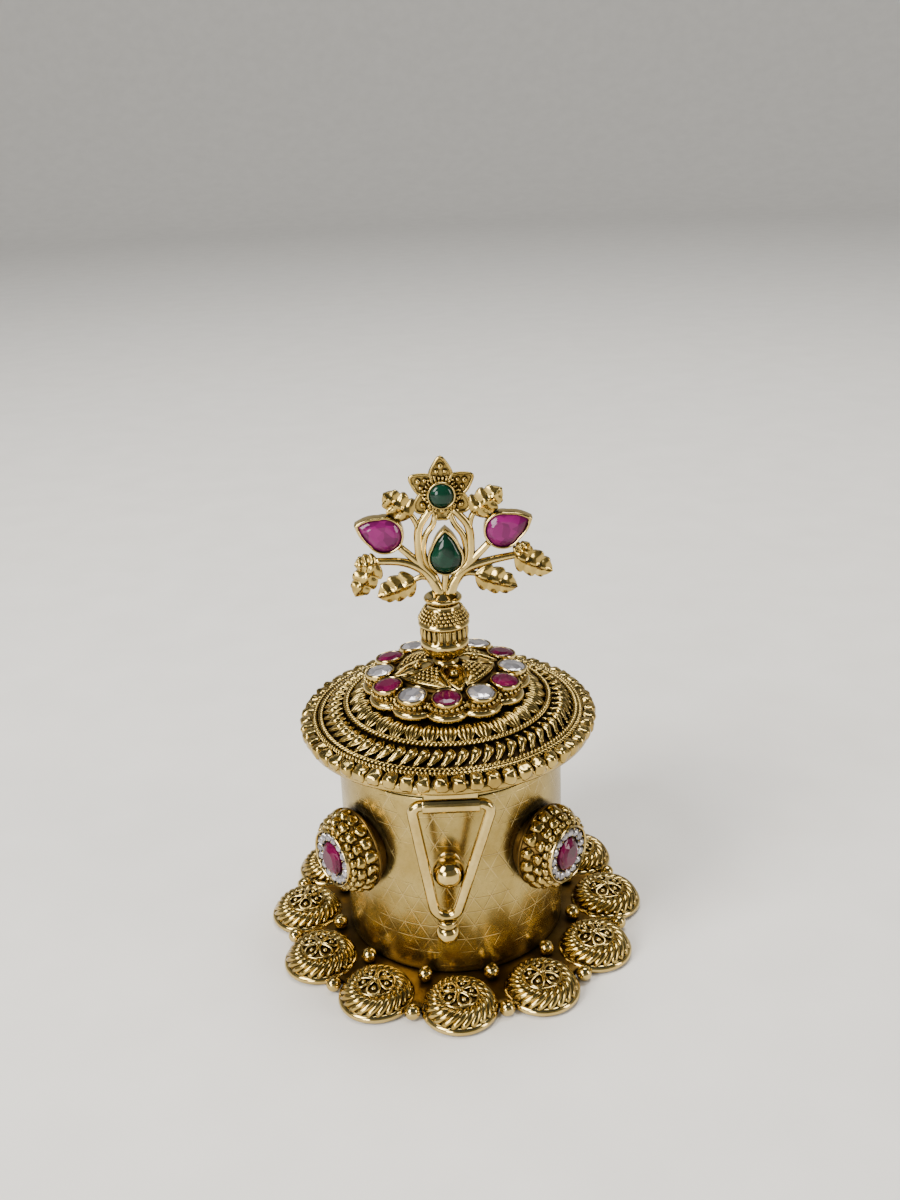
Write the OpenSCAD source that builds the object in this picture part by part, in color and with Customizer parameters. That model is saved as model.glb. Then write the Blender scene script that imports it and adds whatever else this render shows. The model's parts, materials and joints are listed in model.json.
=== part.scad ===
// Hinged-lid brass pot with a kalash vase knob, a jewelled bouquet and a ring of whirl rosettes at its foot.
// Millimetres, +Z up. Origin: centre of the underside of the foot plate. Front (latch side) faces -Y.

/* [Pot body] */
// Outside diameter of the pot's wall
body_d = 38; // [36:0.5:40]
// Thickness of the pot's sheet wall
wall_t = 0.8; // [0.6:0.1:1.2]
// Height of the seam between pot and lid above the ground
seam_z = 34.5; // [33:0.5:36]

/* [Foot] */
// Number of whirl rosettes round the foot
rosette_count = 12; // [12]
// Radius of the ring the rosettes sit on
rosette_ring_r = 27; // [26.8:0.1:28]
// Radius of one rosette
rosette_r = 6.3; // [5.8:0.1:6.4]
// Number of curved ribs on one rosette
rosette_rib_count = 20; // [12:1:20]

/* [Lid] */
// Outside radius of the beaded lid edge
rim_r = 24.9; // [24.5:0.1:25.5]
// Number of beads round the lid edge
rim_bead_count = 56; // [40:1:58]
// Number of comma-shaped motifs in the outer pierced ring
comma_count = 60; // [30:1:64]
// Number of leaf motifs in the inner pierced ring
leaf_count = 34; // [20:1:36]
// Number of stones set round the lid plate
lid_stone_count = 12; // [12]

/* [Side medallions] */
// Half the angle between the two side medallions
medallion_angle = 50; // [48:1:60]
// Height of the medallion centres above the ground
medallion_z = 22; // [20:0.5:24]
// Outside radius of a medallion's beaded collar
medallion_r = 7; // [6:0.1:7.4]

/* [Latch] */
// Radius of the latch wire
wire_r = 0.9; // [0.7:0.05:0.95]
// Radius of the ball the latch drops over
post_ball_r = 2.3; // [2:0.05:2.3]
// Radius of the ball at the latch's tip
tip_ball_r = 1.9; // [1.5:0.1:2]

/* [Part choice] */
// Sub-part to show

/* [Hidden] */
$fn = 64;
body_r = body_d / 2;
cup_inner_r = body_r - wall_t;
plate_t = 1.0;
solder_gap = 0.05;
cup_floor_t = 1.0;
cup_z0 = plate_t + solder_gap;
// the medallions and the post are soldered on slightly turned from the latch's plane
solder_turn = -2.3;

rosette_step = 360 / rosette_count;
rosette_dome_z1 = 3.3;
rosette_edge_r = 0.75;
rib_r = 0.42;
rib_in_r = 3.3;
rib_out_r = 5.75;
rib_in_z = 3.15;
rib_out_z = 2.0;
rib_sweep = 18;
cap_r = 2.95;
cap_z0 = 3.3;
cap_z1 = 3.75;
petal_ring_r = 1.6;
petal_r = 0.75;
outer_bead_r = 1.3;
outer_bead_ring_r = 29.7;
inner_bead_r = 1.3;
inner_bead_ring_r = 21.2;

neck_r = cup_inner_r - solder_gap;
neck_t = 0.6;
neck_z0 = seam_z - 4.5;
neck_z1 = seam_z + 1.5;

collar_base_l = 17.4;
collar_flange_l = 19.9;
collar_top_l = 24.3;
bezel_r = 4.7;
bezel_in_r = 4.25;
bezel_top_l = 25.2;
bezel_floor_l = 24.3;
collar_bead_r = 0.85;
outer_collar_bead_count = 22;
outer_collar_bead_ring_r = medallion_r - 0.75;
outer_collar_bead_l = 21.9;
inner_collar_bead_count = 17;
inner_collar_bead_ring_r = medallion_r - 1.6;
inner_collar_bead_l = 23.7;
halo_stone_r = 0.62;
halo_ring_r = 3.55;
halo_count = 17;
oval_half_w = 2.35;
oval_half_h = 2.75;
gem_top_l = 25.9;

hinge_y = body_r + 1.9;
hinge_z = seam_z;
pin_r = 0.7;
pin_clear = 0.05;
knuckle_r = 1.5;
lid_knuckle_half = 2;
knuckle_gap = 0.1;
knuckle_end = 6;
leaf_t = 0.75;
leaf_clear = 0.05;

skirt_z0 = seam_z + 0.1;
skirt_t = 0.6;
flange_z0 = 38.6;
flange_z1 = 39.4;
flange_r = 23.2;
rim_bead_r = 1.28;
rim_bead_ring_r = rim_r - rim_bead_r;
rim_bead_z = 39.9;
lid_sheet_t = 0.6;
pan_knee_r = 21.5;
pan_knee_z = 40.3;
pan_mid_r = 16.9;
pan_mid_z = 42.3;
pan_top_r = 12.6;
pan_top_z = 44.3;

outer_wire_ring_r = 21.75;
outer_wire_z = 40.9;
outer_wire_r = 0.5;
inner_wire_ring_r = 17.0;
inner_wire_z = 43.1;
inner_wire_r = 0.5;
twist_bead_r = 0.55;
outer_twist_count = 110;
inner_twist_count = 86;

comma_in_r = 17.7;
comma_out_r = 21.1;
comma_in_z = 42.75;
comma_out_z = 41.3;
comma_r = 0.62;
comma_sweep = 5;
leaf_in_r = 14.1;
leaf_out_r = 16.4;
leaf_in_z = 44.35;
leaf_out_z = 43.5;
leaf_bar_r = 0.36;
leaf_spread = 2.9;

plate_z0 = 44.9;
plate_edge_z1 = 46.9;
plate_r = 12.2;
plate_crown_r = 10.7;
plate_lip_z1 = 46.0;
lobe_r = 3.9;
lobe_ring_r = 10.1;
lobe_step_r = 3.2;
lobe_step_ring_r = 10.6;
crown_lobe_r = 2.6;
plate_crown_z = 47.6;
seat_r = 2.45;
seat_wall = 0.25;
seat_z1 = 48.6;
stone_ring_r = 11.2;
stone_r = 2.1;
stone_z0 = 47.65;
stone_mid_z = 48.45;
stone_top_z = 48.9;
stone_table_r = 1.2;
stone_step = 360 / lid_stone_count;

flower_z0 = 47.6;
flower_dome_z1 = 49.4;
flower_dome_r = 8.4;
sepal_count = 4;
sepal_turn = 15;
sepal_in = 2.6;
sepal_out = 7.6;
sepal_r = 0.42;
sepal_mid = 5.0;
sepal_z = flower_dome_z1 + 0.1;
cup_ball_ring_r = 5.6;
cup_ball_r = 0.8;

vase_z0 = 49.45;
vase_mouth_r = 1.9;
flute_count = 18;
flute_r = 0.5;
flute_ring_r = 3.65;
flute_z0 = 54.05;
flute_z1 = 56.2;

fan_y = 0;
stem_r = 0.62;
// boughs of the fan as points along their middle, X then Z
stem_far_left = [[-0.1, 61.2], [-0.5, 62.6], [-1.9, 64.6], [-3.6, 66.2], [-6.4, 67.3], [-10.3, 67.6]];
stem_far_right = [[0.9, 61.2], [1.3, 62.6], [2.6, 64.5], [4.4, 65.9], [8.0, 67.0], [12.1, 67.8]];
stem_inner_left = [[-0.3, 62.2], [-1.4, 64.6], [-3.1, 66.8], [-3.5, 69.6], [-3.3, 73.0], [-1.4, 76.0]];
stem_inner_right = [[1.1, 62.2], [2.4, 64.6], [4.3, 66.8], [4.8, 69.6], [4.5, 73.0], [2.2, 76.0]];
stem_ruby_left = [[-3.1, 66.8], [-5.0, 68.4], [-6.45, 69.8]];
stem_ruby_right = [[4.3, 66.8], [6.2, 68.4], [7.65, 69.9]];
stem_top_leaf_left = [[-3.3, 72.4], [-3.9, 74.2], [-4.8, 75.6]];
stem_top_leaf_right = [[4.6, 72.4], [5.0, 74.2], [5.8, 75.8]];
stem_low_leaf_left = [[-1.5, 64.0], [-3.2, 64.4], [-4.8, 64.0]];
stem_low_leaf_right = [[2.3, 64.0], [4.2, 64.8], [6.0, 64.7]];
knot_share = 0.56;
stem_root_z = 60.4;
sheet_t = 1.0;
vein_half_w = 0.4;
vein_rise = 0.3;
top_flower_x = 0.5;
top_flower_z = 78.5;
// reach of each petal, the first straight up, then clockwise
top_petal_reach = [6.3, 6.1, 5.3, 4.5, 5.3, 6.0];
top_petal_half_w = 1.75;
top_petal_t = 1.0;
round_seat_r = 2.3;
round_seat_wall = 0.35;
round_seat_l = 1.1;
green_pear_x = 0.8;
green_pear_z = 68.0;
green_pear_r = 2.9;
green_pear_tip = 5.1;
ruby_pear_r = 3.1;
ruby_pear_tip = 5.1;
ruby_left_x = -8.8;
ruby_left_z = 72.2;
ruby_right_x = 10.0;
ruby_right_z = 72.3;
ruby_tilt = 22;
pear_wall = 0.4;
pear_front = 1.4;
pear_back = 0.8;
pear_gem_front = 2.0;

latch_y = -23.2;
latch_z = 36.1;
barrel_r = 1.35;
barrel_half = 4.35;
barrel_clear = 0.05;
shoulder_r = 1.4;
shoulder_x = 4.55;
toe_r = 2.4;
// the hand-bent loop hangs a little to the left
toe_x = -1.4;
toe_z = 18.08;
joint_lap = 0.1;
joint_step = 0.02;
tip_z = 12.5;
tip_neck_r = 1.5;
tip_neck_z0 = 13.6;
tip_neck_z1 = 15.2;
post_y = -22.0;
post_z = 22.95;
post_stem_r = 1.1;
post_collar_r = 2.0;

// ---------- shared shapes ----------

// Turns a shape built along +Z so it runs from p towards q
module aim(p, q) {
  d = q - p;
  translate(p) rotate([0, acos(d[2] / norm(d)), atan2(d[1], d[0])]) children();
}

// Faceted bar from p to q
module bar(p, q, r) {
  aim(p, q) cylinder(r = r, h = norm(q - p), $fn = 8);
}

// Flat line of width w through a list of points
module line_2d(pts, w) {
  for (i = [0 : len(pts) - 2]) {
    d = pts[i + 1] - pts[i];
    n = [-d[1], d[0]] / norm(d) * w / 2;
    polygon([pts[i] - n, pts[i + 1] - n, pts[i + 1] + n, pts[i] + n]);
    translate(pts[i + 1]) circle(r = w * knot_share, $fn = 24);
  }
}

// Copies its child round Z, the first one at the front
module ring_of(count, offset = 0) {
  for (i = [0 : count - 1]) rotate([0, 0, -90 + offset + i * 360 / count]) children();
}

// A point on a cone round Z
function ring_point(r, a, z) = [r * cos(a), r * sin(a), z];

// Turns a shape built along +Z so it points out of the pot's wall at one medallion
module at_medallion(side) {
  rotate([0, 0, -90 + solder_turn + side * medallion_angle])
    translate([0, 0, medallion_z])
      rotate([0, 90, 0])
        children();
}

// Round-cornered drop outline, point towards +Y
module pear_2d(r, tip, grow = 0) {
  rr = r + grow;
  tt = tip + grow * tip / r;
  a = asin(rr / tt);
  circle(r = rr);
  polygon([[rr * cos(a), rr * sin(a)], [0, tt], [-rr * cos(a), rr * sin(a)], [0, -rr / 2]]);
}

// Stands a flat outline up in the fan's plane, thickness along Y from front to back
module upright(front, back) {
  translate([0, fan_y + back, 0])
    rotate([90, 0, 0])
      linear_extrude(height = front + back)
        children();
}

module ellipse_2d(a, b, steps = 48) {
  polygon([for (i = [0 : steps - 1]) [a * cos(i * 360 / steps), b * sin(i * 360 / steps)]]);
}

// ---------- foot ----------

module foot_plate() {
  color("goldenrod") {
    cylinder(r = rosette_ring_r - 1, h = plate_t);
    ring_of(rosette_count)
      translate([rosette_ring_r, 0, 0]) cylinder(r = rosette_r, h = plate_t);
  }
}

module rosette_domes() {
  dome_h = rosette_dome_z1 - plate_t - solder_gap;
  dome_cap_r = rosette_r - rosette_edge_r;
  dome_sphere_r = (dome_cap_r * dome_cap_r + dome_h * dome_h) / (2 * dome_h);
  color("goldenrod")
    ring_of(rosette_count)
      translate([rosette_ring_r, 0, plate_t + solder_gap])
        rotate_extrude() {
          intersection() {
            translate([0, dome_h - dome_sphere_r]) circle(r = dome_sphere_r, $fn = 128);
            square([dome_cap_r, dome_h]);
          }
          square([dome_cap_r, rosette_edge_r]);
          translate([dome_cap_r, rosette_edge_r]) circle(r = rosette_edge_r, $fn = 24);
        }
}

module rosette_ribs() {
  color("darkgoldenrod")
    ring_of(rosette_count)
      translate([rosette_ring_r, 0, 0])
        for (i = [0 : rosette_rib_count - 1]) {
          a = i * 360 / rosette_rib_count;
          bar(ring_point(rib_in_r, a, rib_in_z), ring_point(rib_out_r, a + rib_sweep, rib_out_z), rib_r);
        }
}

module rosette_flowers() {
  color("gold")
    ring_of(rosette_count)
      translate([rosette_ring_r, 0, 0]) {
        translate([0, 0, cap_z0 + solder_gap]) cylinder(r = cap_r - 0.35, h = cap_z1 - cap_z0);
        for (i = [0 : 5])
          rotate([0, 0, i * 60])
            translate([petal_ring_r, 0, cap_z1]) sphere(r = petal_r, $fn = 32);
        translate([0, 0, cap_z1 + 0.25]) sphere(r = 0.7, $fn = 32);
      }
}

module outer_foot_beads() {
  color("gold")
    ring_of(rosette_count, rosette_step / 2)
      translate([outer_bead_ring_r, 0, outer_bead_r]) sphere(r = outer_bead_r);
}

module inner_foot_beads() {
  color("gold")
    ring_of(rosette_count, rosette_step / 2)
      translate([inner_bead_ring_r, 0, plate_t + inner_bead_r]) sphere(r = inner_bead_r);
}

// ---------- pot ----------

module pot_cup() {
  color("goldenrod")
    translate([0, 0, cup_z0])
      difference() {
        cylinder(r = body_r, h = seam_z - cup_z0, $fn = 128);
        translate([0, 0, cup_floor_t]) cylinder(r = cup_inner_r, h = seam_z, $fn = 128);
      }
}

module lid_register_ring() {
  color("darkgoldenrod")
    translate([0, 0, neck_z0])
      difference() {
        cylinder(r = neck_r, h = neck_z1 - neck_z0, $fn = 128);
        translate([0, 0, -1]) cylinder(r = neck_r - neck_t, h = neck_z1 - neck_z0 + 2, $fn = 128);
      }
}

module medallion_collar(side) {
  color("goldenrod")
    difference() {
      at_medallion(side)
        rotate_extrude()
          polygon([
            [0, collar_base_l], [medallion_r - 1.1, collar_base_l], [medallion_r - 1.1, collar_flange_l - 0.5],
            [medallion_r, collar_flange_l], [medallion_r, collar_flange_l + 0.6],
            [medallion_r - 0.8, collar_flange_l + 1.2], [medallion_r - 1.0, outer_collar_bead_l + 0.6],
            [inner_collar_bead_ring_r - 0.1, inner_collar_bead_l + 0.2],
            [bezel_r + 0.1, collar_top_l - solder_gap], [0, collar_top_l - solder_gap]
          ]);
      cylinder(r = body_r + solder_gap, h = 2 * medallion_z, $fn = 128);
    }
}

module medallion_beads(side) {
  color("gold")
    at_medallion(side) {
      for (i = [0 : outer_collar_bead_count - 1])
        rotate([0, 0, i * 360 / outer_collar_bead_count])
          translate([outer_collar_bead_ring_r, 0, outer_collar_bead_l]) sphere(r = collar_bead_r, $fn = 32);
      for (i = [0 : inner_collar_bead_count - 1])
        rotate([0, 0, i * 360 / inner_collar_bead_count])
          translate([inner_collar_bead_ring_r, 0, inner_collar_bead_l]) sphere(r = collar_bead_r, $fn = 32);
    }
}

module medallion_bezel(side) {
  color("gold")
    at_medallion(side)
      translate([0, 0, bezel_floor_l])
        difference() {
          cylinder(r = bezel_r, h = bezel_top_l - bezel_floor_l);
          translate([0, 0, 0.3]) cylinder(r = bezel_in_r, h = 2);
        }
}

module medallion_halo(side) {
  color("gainsboro")
    at_medallion(side)
      for (i = [0 : halo_count - 1])
        rotate([0, 0, i * 360 / halo_count])
          translate([halo_ring_r, 0, bezel_floor_l + 0.35]) {
            cylinder(r = halo_stone_r, h = 0.5, $fn = 24);
            translate([0, 0, 0.5]) cylinder(r1 = halo_stone_r, r2 = halo_stone_r / 2, h = 0.3, $fn = 24);
          }
}

module medallion_gem(side) {
  color("mediumvioletred")
    at_medallion(side)
      translate([0, 0, bezel_floor_l + 0.35]) {
        linear_extrude(height = gem_top_l - bezel_floor_l - 0.85) ellipse_2d(oval_half_h, oval_half_w);
        linear_extrude(height = gem_top_l - bezel_floor_l - 0.35) ellipse_2d(oval_half_h * 0.7, oval_half_w * 0.7);
      }
}

module latch_post() {
  stem_len = -body_r - solder_gap - post_y;
  color("gold")
    rotate([0, 0, solder_turn])
      translate([0, -body_r - solder_gap, post_z])
        rotate([90, 0, 0]) {
          cylinder(r = post_collar_r, h = 0.35);
          cylinder(r = post_stem_r, h = stem_len);
          translate([0, 0, stem_len]) sphere(r = post_ball_r);
        }
}

// ---------- hinge ----------

module knuckle(x0, x1) {
  translate([x0, hinge_y, hinge_z])
    rotate([0, 90, 0])
      difference() {
        cylinder(r = knuckle_r, h = x1 - x0);
        translate([0, 0, -1]) cylinder(r = pin_r + pin_clear, h = x1 - x0 + 2);
      }
}

// Flat leaf hollowed on its inner side to lie on the round wall
module curved_leaf(half_w, z0, z1) {
  difference() {
    translate([-half_w, 0, z0]) cube([2 * half_w, body_r + leaf_t, z1 - z0]);
    translate([0, 0, z0 - 1]) cylinder(r = body_r + leaf_clear, h = z1 - z0 + 2, $fn = 128);
    translate([-half_w - 1, -1, z0 - 1]) cube([2 * half_w + 2, body_r / 2, z1 - z0 + 2]);
  }
}

module hinge_body_leaf() {
  color("goldenrod") {
    for (s = [-1, 1]) {
      lo = s < 0 ? -knuckle_end : lid_knuckle_half + knuckle_gap;
      hi = s < 0 ? -lid_knuckle_half - knuckle_gap : knuckle_end;
      knuckle(lo, hi);
      translate([lo, body_r + leaf_clear, hinge_z - 3]) cube([hi - lo, leaf_t, 2.4]);
    }
    curved_leaf(knuckle_end, seam_z - 9, seam_z - 2.2);
  }
}

module hinge_lid_leaf() {
  color("goldenrod") {
    knuckle(-lid_knuckle_half, lid_knuckle_half);
    translate([-lid_knuckle_half, body_r + leaf_clear, hinge_z + 0.9])
      cube([2 * lid_knuckle_half, leaf_t, flange_z0 - hinge_z - 1.1]);
    curved_leaf(knuckle_end - 1, hinge_z + 2.1, flange_z0 - 0.2);
  }
}

module hinge_pin() {
  color("darkgoldenrod")
    translate([-knuckle_end - 0.5, hinge_y, hinge_z])
      rotate([0, 90, 0]) {
        cylinder(r = pin_r, h = 2 * knuckle_end + 1);
        cylinder(r = pin_r + 0.4, h = 0.45);
        translate([0, 0, 2 * knuckle_end + 0.55]) cylinder(r = pin_r + 0.4, h = 0.45);
      }
}

// ---------- lid ----------

module lid_pan() {
  color("saddlebrown")
    rotate_extrude($fn = 128)
      polygon([
        [body_r - skirt_t, skirt_z0], [body_r, skirt_z0], [body_r, flange_z0], [flange_r, flange_z0],
        [flange_r, flange_z1], [pan_knee_r, pan_knee_z], [pan_mid_r, pan_mid_z], [pan_top_r, pan_top_z],
        [0, pan_top_z], [0, pan_top_z - lid_sheet_t], [pan_top_r - 0.2, pan_top_z - lid_sheet_t],
        [pan_mid_r - 0.2, pan_mid_z - lid_sheet_t], [body_r - skirt_t, pan_mid_z - lid_sheet_t - 1.0]
      ]);
}

module rim_beads() {
  color("gold") {
    for (i = [0 : rim_bead_count - 1])
      rotate([0, 0, -90 + i * 360 / rim_bead_count])
        translate([rim_bead_ring_r, 0, rim_bead_z]) sphere(r = rim_bead_r, $fn = 32);
    rotate_extrude($fn = 128)
      translate([rim_bead_ring_r - 0.25, flange_z1 + 0.15]) square([0.5, 0.7]);
  }
}

module twist_wire(ring_r, z, core_r, count) {
  color("gold") {
    rotate_extrude($fn = 128) translate([ring_r, z]) circle(r = core_r - 0.1, $fn = 24);
    for (i = [0 : count - 1])
      rotate([0, 0, i * 360 / count]) translate([ring_r, 0, z]) sphere(r = twist_bead_r, $fn = 24);
  }
}

module outer_twist_wire() {
  twist_wire(outer_wire_ring_r, outer_wire_z + 0.05, outer_wire_r, outer_twist_count);
}

module inner_twist_wire() {
  twist_wire(inner_wire_ring_r, inner_wire_z + 0.05, inner_wire_r, inner_twist_count);
}

module comma_ring() {
  color("gold")
    for (i = [0 : comma_count - 1]) {
      a = i * 360 / comma_count;
      p = ring_point(comma_in_r, a, comma_in_z);
      q = ring_point(comma_out_r, a + comma_sweep, comma_out_z);
      aim(p, q) cylinder(r1 = comma_r * 0.5, r2 = comma_r, h = norm(q - p));
    }
}

module leaf_ring() {
  color("gold")
    for (i = [0 : leaf_count - 1]) {
      a = i * 360 / leaf_count;
      for (k = [-1, 0, 1])
        bar(ring_point(leaf_in_r, a + k * leaf_spread, leaf_in_z),
          ring_point(leaf_out_r, a + k * leaf_spread * 0.85, leaf_out_z), leaf_bar_r);
    }
}

module lobed_plate() {
  color("gold") {
    translate([0, 0, pan_top_z + solder_gap]) cylinder(r = pan_top_r - 2, h = plate_z0 - pan_top_z);
    translate([0, 0, plate_z0]) cylinder(r = plate_r, h = plate_lip_z1 - plate_z0);
    translate([0, 0, plate_z0]) cylinder(r = plate_crown_r, h = plate_crown_z - plate_z0);
    ring_of(lid_stone_count)
      translate([0, 0, plate_z0]) {
        translate([lobe_ring_r, 0, 0]) cylinder(r = lobe_r, h = plate_lip_z1 - plate_z0);
        translate([lobe_step_ring_r, 0, 0]) cylinder(r = lobe_step_r, h = plate_edge_z1 - plate_z0);
        translate([stone_ring_r, 0, 0]) cylinder(r = crown_lobe_r, h = plate_crown_z - plate_z0);
      }
  }
}

module plate_seats() {
  color("gold")
    ring_of(lid_stone_count)
      translate([stone_ring_r, 0, plate_crown_z + solder_gap - 0.02])
        difference() {
          cylinder(r = seat_r, h = seat_z1 - plate_crown_z);
          translate([0, 0, -1]) cylinder(r = seat_r - seat_wall, h = 4);
        }
}

module brilliant() {
  cylinder(r = stone_r, h = stone_mid_z - stone_z0);
  translate([0, 0, stone_mid_z - stone_z0])
    cylinder(r1 = stone_r, r2 = stone_table_r, h = stone_top_z - stone_mid_z);
}

module plate_rubies() {
  color("crimson")
    ring_of(lid_stone_count / 2)
      translate([stone_ring_r, 0, stone_z0]) brilliant();
}

module plate_clear_stones() {
  color("whitesmoke")
    ring_of(lid_stone_count / 2, stone_step)
      translate([stone_ring_r, 0, stone_z0]) brilliant();
}

module knob_flower() {
  dome_h = flower_dome_z1 - flower_z0 - solder_gap;
  dome_sphere_r = (flower_dome_r * flower_dome_r + dome_h * dome_h) / (2 * dome_h);
  color("gold")
    translate([0, 0, flower_z0 + solder_gap])
      rotate_extrude()
        intersection() {
          translate([0, dome_h - dome_sphere_r]) circle(r = dome_sphere_r, $fn = 128);
          square([flower_dome_r, dome_h]);
        }
}

module knob_sepals() {
  color("gold")
    for (k = [0 : sepal_count - 1]) {
      rotate([0, 0, sepal_turn - 90 + k * 360 / sepal_count]) {
        for (s = [-1, 1]) {
          bar([sepal_in, s * 0.8, sepal_z], [sepal_mid, s * 2.3, sepal_z - 0.6], sepal_r);
          bar([sepal_mid, s * 2.3, sepal_z - 0.6], [sepal_out, s * 0.45, sepal_z - 1.2], sepal_r);
        }
        translate([cup_ball_ring_r, 0, flower_z0 + 1.2]) sphere(r = cup_ball_r, $fn = 32);
      }
      rotate([0, 0, sepal_turn - 90 + (k + 0.5) * 360 / sepal_count])
        for (s = [-1, 1]) {
          bar([sepal_in, s * 0.8, sepal_z], [sepal_mid - 0.3, s * 2.1, sepal_z - 0.6], sepal_r);
          bar([sepal_mid - 0.3, s * 2.1, sepal_z - 0.6], [sepal_out - 0.3, s * 0.45, sepal_z - 1.2], sepal_r);
        }
    }
}

module kalash_vase() {
  color("goldenrod")
    rotate_extrude()
      polygon([
        [0, vase_z0], [2.3, vase_z0], [2.3, 49.9], [2.0, 50.3], [2.5, 50.7], [3.4, 51.4], [3.95, 52.4],
        [4.0, 53.2], [3.8, 53.9], [3.5, flute_z0], [3.5, flute_z1], [3.95, 56.3], [4.2, 56.5], [4.2, 57.0],
        [4.0, 57.3], [3.3, 58.6], [2.75, 59.5], [2.5, 59.9], [2.6, 60.2], [3.1, 60.6], [3.15, 61.1], [2.85, 61.35],
        [vase_mouth_r, 61.2], [vase_mouth_r, stem_root_z], [0, stem_root_z]
      ]);
}

module vase_flutes() {
  color("gold")
    ring_of(flute_count)
      translate([flute_ring_r, 0, flute_z0]) cylinder(r = flute_r, h = flute_z1 - flute_z0, $fn = 24);
}

// ---------- bouquet ----------

// Leaf outline with three forward-pointing teeth on each side, base at the origin, tip towards +X
module leaf_2d(reach, w) {
  half = [
    [0.10, 0.34], [0.27, 0.46], [0.29, 0.30], [0.49, 0.50], [0.51, 0.30], [0.71, 0.38], [0.73, 0.20], [0.88, 0.18]
  ];
  polygon(concat(
    [[0, 0]],
    [for (p = half) [reach * p[0], w * p[1]]],
    [[reach, 0]],
    [for (i = [len(half) - 1 : -1 : 0]) [reach * half[i][0], -w * half[i][1]]]
  ));
}

module fan_leaf(x, z, turn, len, w) {
  translate([x, 0, z])
    rotate([0, -turn, 0]) {
      upright(sheet_t / 2, sheet_t / 2) leaf_2d(len, w);
      upright(sheet_t / 2 + vein_rise, 0)
        polygon([[0, -vein_half_w], [len * 0.85, -vein_half_w / 3], [len * 0.85, vein_half_w / 3], [0, vein_half_w]]);
    }
}

module fan_stems() {
  color("goldenrod") {
    translate([0.3, fan_y, stem_root_z + solder_gap]) cylinder(r = 1.4, h = 1.6);
    upright(stem_r, stem_r) {
      line_2d(stem_far_left, 2 * stem_r);
      line_2d(stem_far_right, 2 * stem_r);
      line_2d(stem_inner_left, 2 * stem_r);
      line_2d(stem_inner_right, 2 * stem_r);
      line_2d(stem_ruby_left, 2 * stem_r);
      line_2d(stem_ruby_right, 2 * stem_r);
      line_2d(stem_top_leaf_left, 2 * stem_r);
      line_2d(stem_top_leaf_right, 2 * stem_r);
      line_2d(stem_low_leaf_left, 2 * stem_r);
      line_2d(stem_low_leaf_right, 2 * stem_r);
    }
  }
}

module fan_leaves() {
  color("gold") {
    fan_leaf(-4.4, 75.1, 138, 5.8, 4.2);
    fan_leaf(5.2, 75.3, 38, 6.2, 4.2);
    fan_leaf(-10.2, 67.4, 182, 3.8, 3.0);
    fan_leaf(-10.6, 67.5, 238, 6.8, 4.0);
    fan_leaf(12.0, 67.7, 42, 3.0, 2.6);
    fan_leaf(12.0, 67.7, -27, 6.6, 4.2);
    fan_leaf(-4.3, 64.1, 201, 6.6, 4.2);
    fan_leaf(5.5, 64.8, -19, 7.1, 4.2);
  }
}

module top_flower() {
  color("gold")
    translate([top_flower_x, 0, top_flower_z]) {
      for (i = [0 : len(top_petal_reach) - 1])
        rotate([0, i * 360 / len(top_petal_reach), 0]) {
          upright(top_petal_t / 2, top_petal_t / 2)
            polygon([[-1.2, 1.0], [1.2, 1.0], [top_petal_half_w, 3.3], [0, top_petal_reach[i]], [-top_petal_half_w, 3.3]]);
          translate([0, fan_y - top_petal_t / 2, 3.6]) sphere(r = 0.55, $fn = 24);
        }
      upright(top_petal_t / 2, top_petal_t / 2) circle(r = round_seat_r - 0.5);
    }
}

module pear_seat(x, z, turn, r, tip) {
  translate([x, 0, z])
    rotate([0, -turn, 0])
      difference() {
        upright(pear_front, pear_back) pear_2d(r, tip);
        upright(pear_front + 1, -0.1) pear_2d(r, tip, -pear_wall);
      }
}

module fan_seats() {
  color("gold") {
    pear_seat(green_pear_x, green_pear_z, 0, green_pear_r, green_pear_tip);
    pear_seat(ruby_left_x, ruby_left_z, 90 - ruby_tilt, ruby_pear_r, ruby_pear_tip);
    pear_seat(ruby_right_x, ruby_right_z, ruby_tilt - 90, ruby_pear_r, ruby_pear_tip);
    translate([top_flower_x, fan_y - top_petal_t / 2 - solder_gap, top_flower_z])
      rotate([90, 0, 0])
        difference() {
          cylinder(r = round_seat_r, h = round_seat_l);
          translate([0, 0, 0.3]) cylinder(r = round_seat_r - round_seat_wall, h = 2);
        }
  }
}

module green_cabochon() {
  cab_r = round_seat_r - round_seat_wall - solder_gap;
  color("seagreen")
    translate([top_flower_x, fan_y - top_petal_t / 2 - solder_gap - 0.35, top_flower_z])
      rotate([90, 0, 0])
        intersection() {
          translate([0, 0, 1.6 - 2.2]) sphere(r = 2.2);
          cylinder(r = cab_r, h = 3);
        }
}

// Gem with a stepped crown, seated inside its wall
module pear_gem(x, z, turn, r, tip) {
  translate([x, 0, z])
    rotate([0, -turn, 0]) {
      upright(pear_front - 0.1, -0.15) pear_2d(r, tip, -pear_wall - solder_gap);
      upright(pear_gem_front - 0.25, -0.15) pear_2d(r, tip, -pear_wall - 0.5);
      upright(pear_gem_front, -0.15) pear_2d(r, tip, -pear_wall - 1.0);
    }
}

module green_pear() {
  color("seagreen") pear_gem(green_pear_x, green_pear_z, 0, green_pear_r, green_pear_tip);
}

module ruby_pears() {
  color("mediumvioletred") {
    pear_gem(ruby_left_x, ruby_left_z, 90 - ruby_tilt, ruby_pear_r, ruby_pear_tip);
    pear_gem(ruby_right_x, ruby_right_z, ruby_tilt - 90, ruby_pear_r, ruby_pear_tip);
  }
}

// ---------- latch ----------

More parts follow.
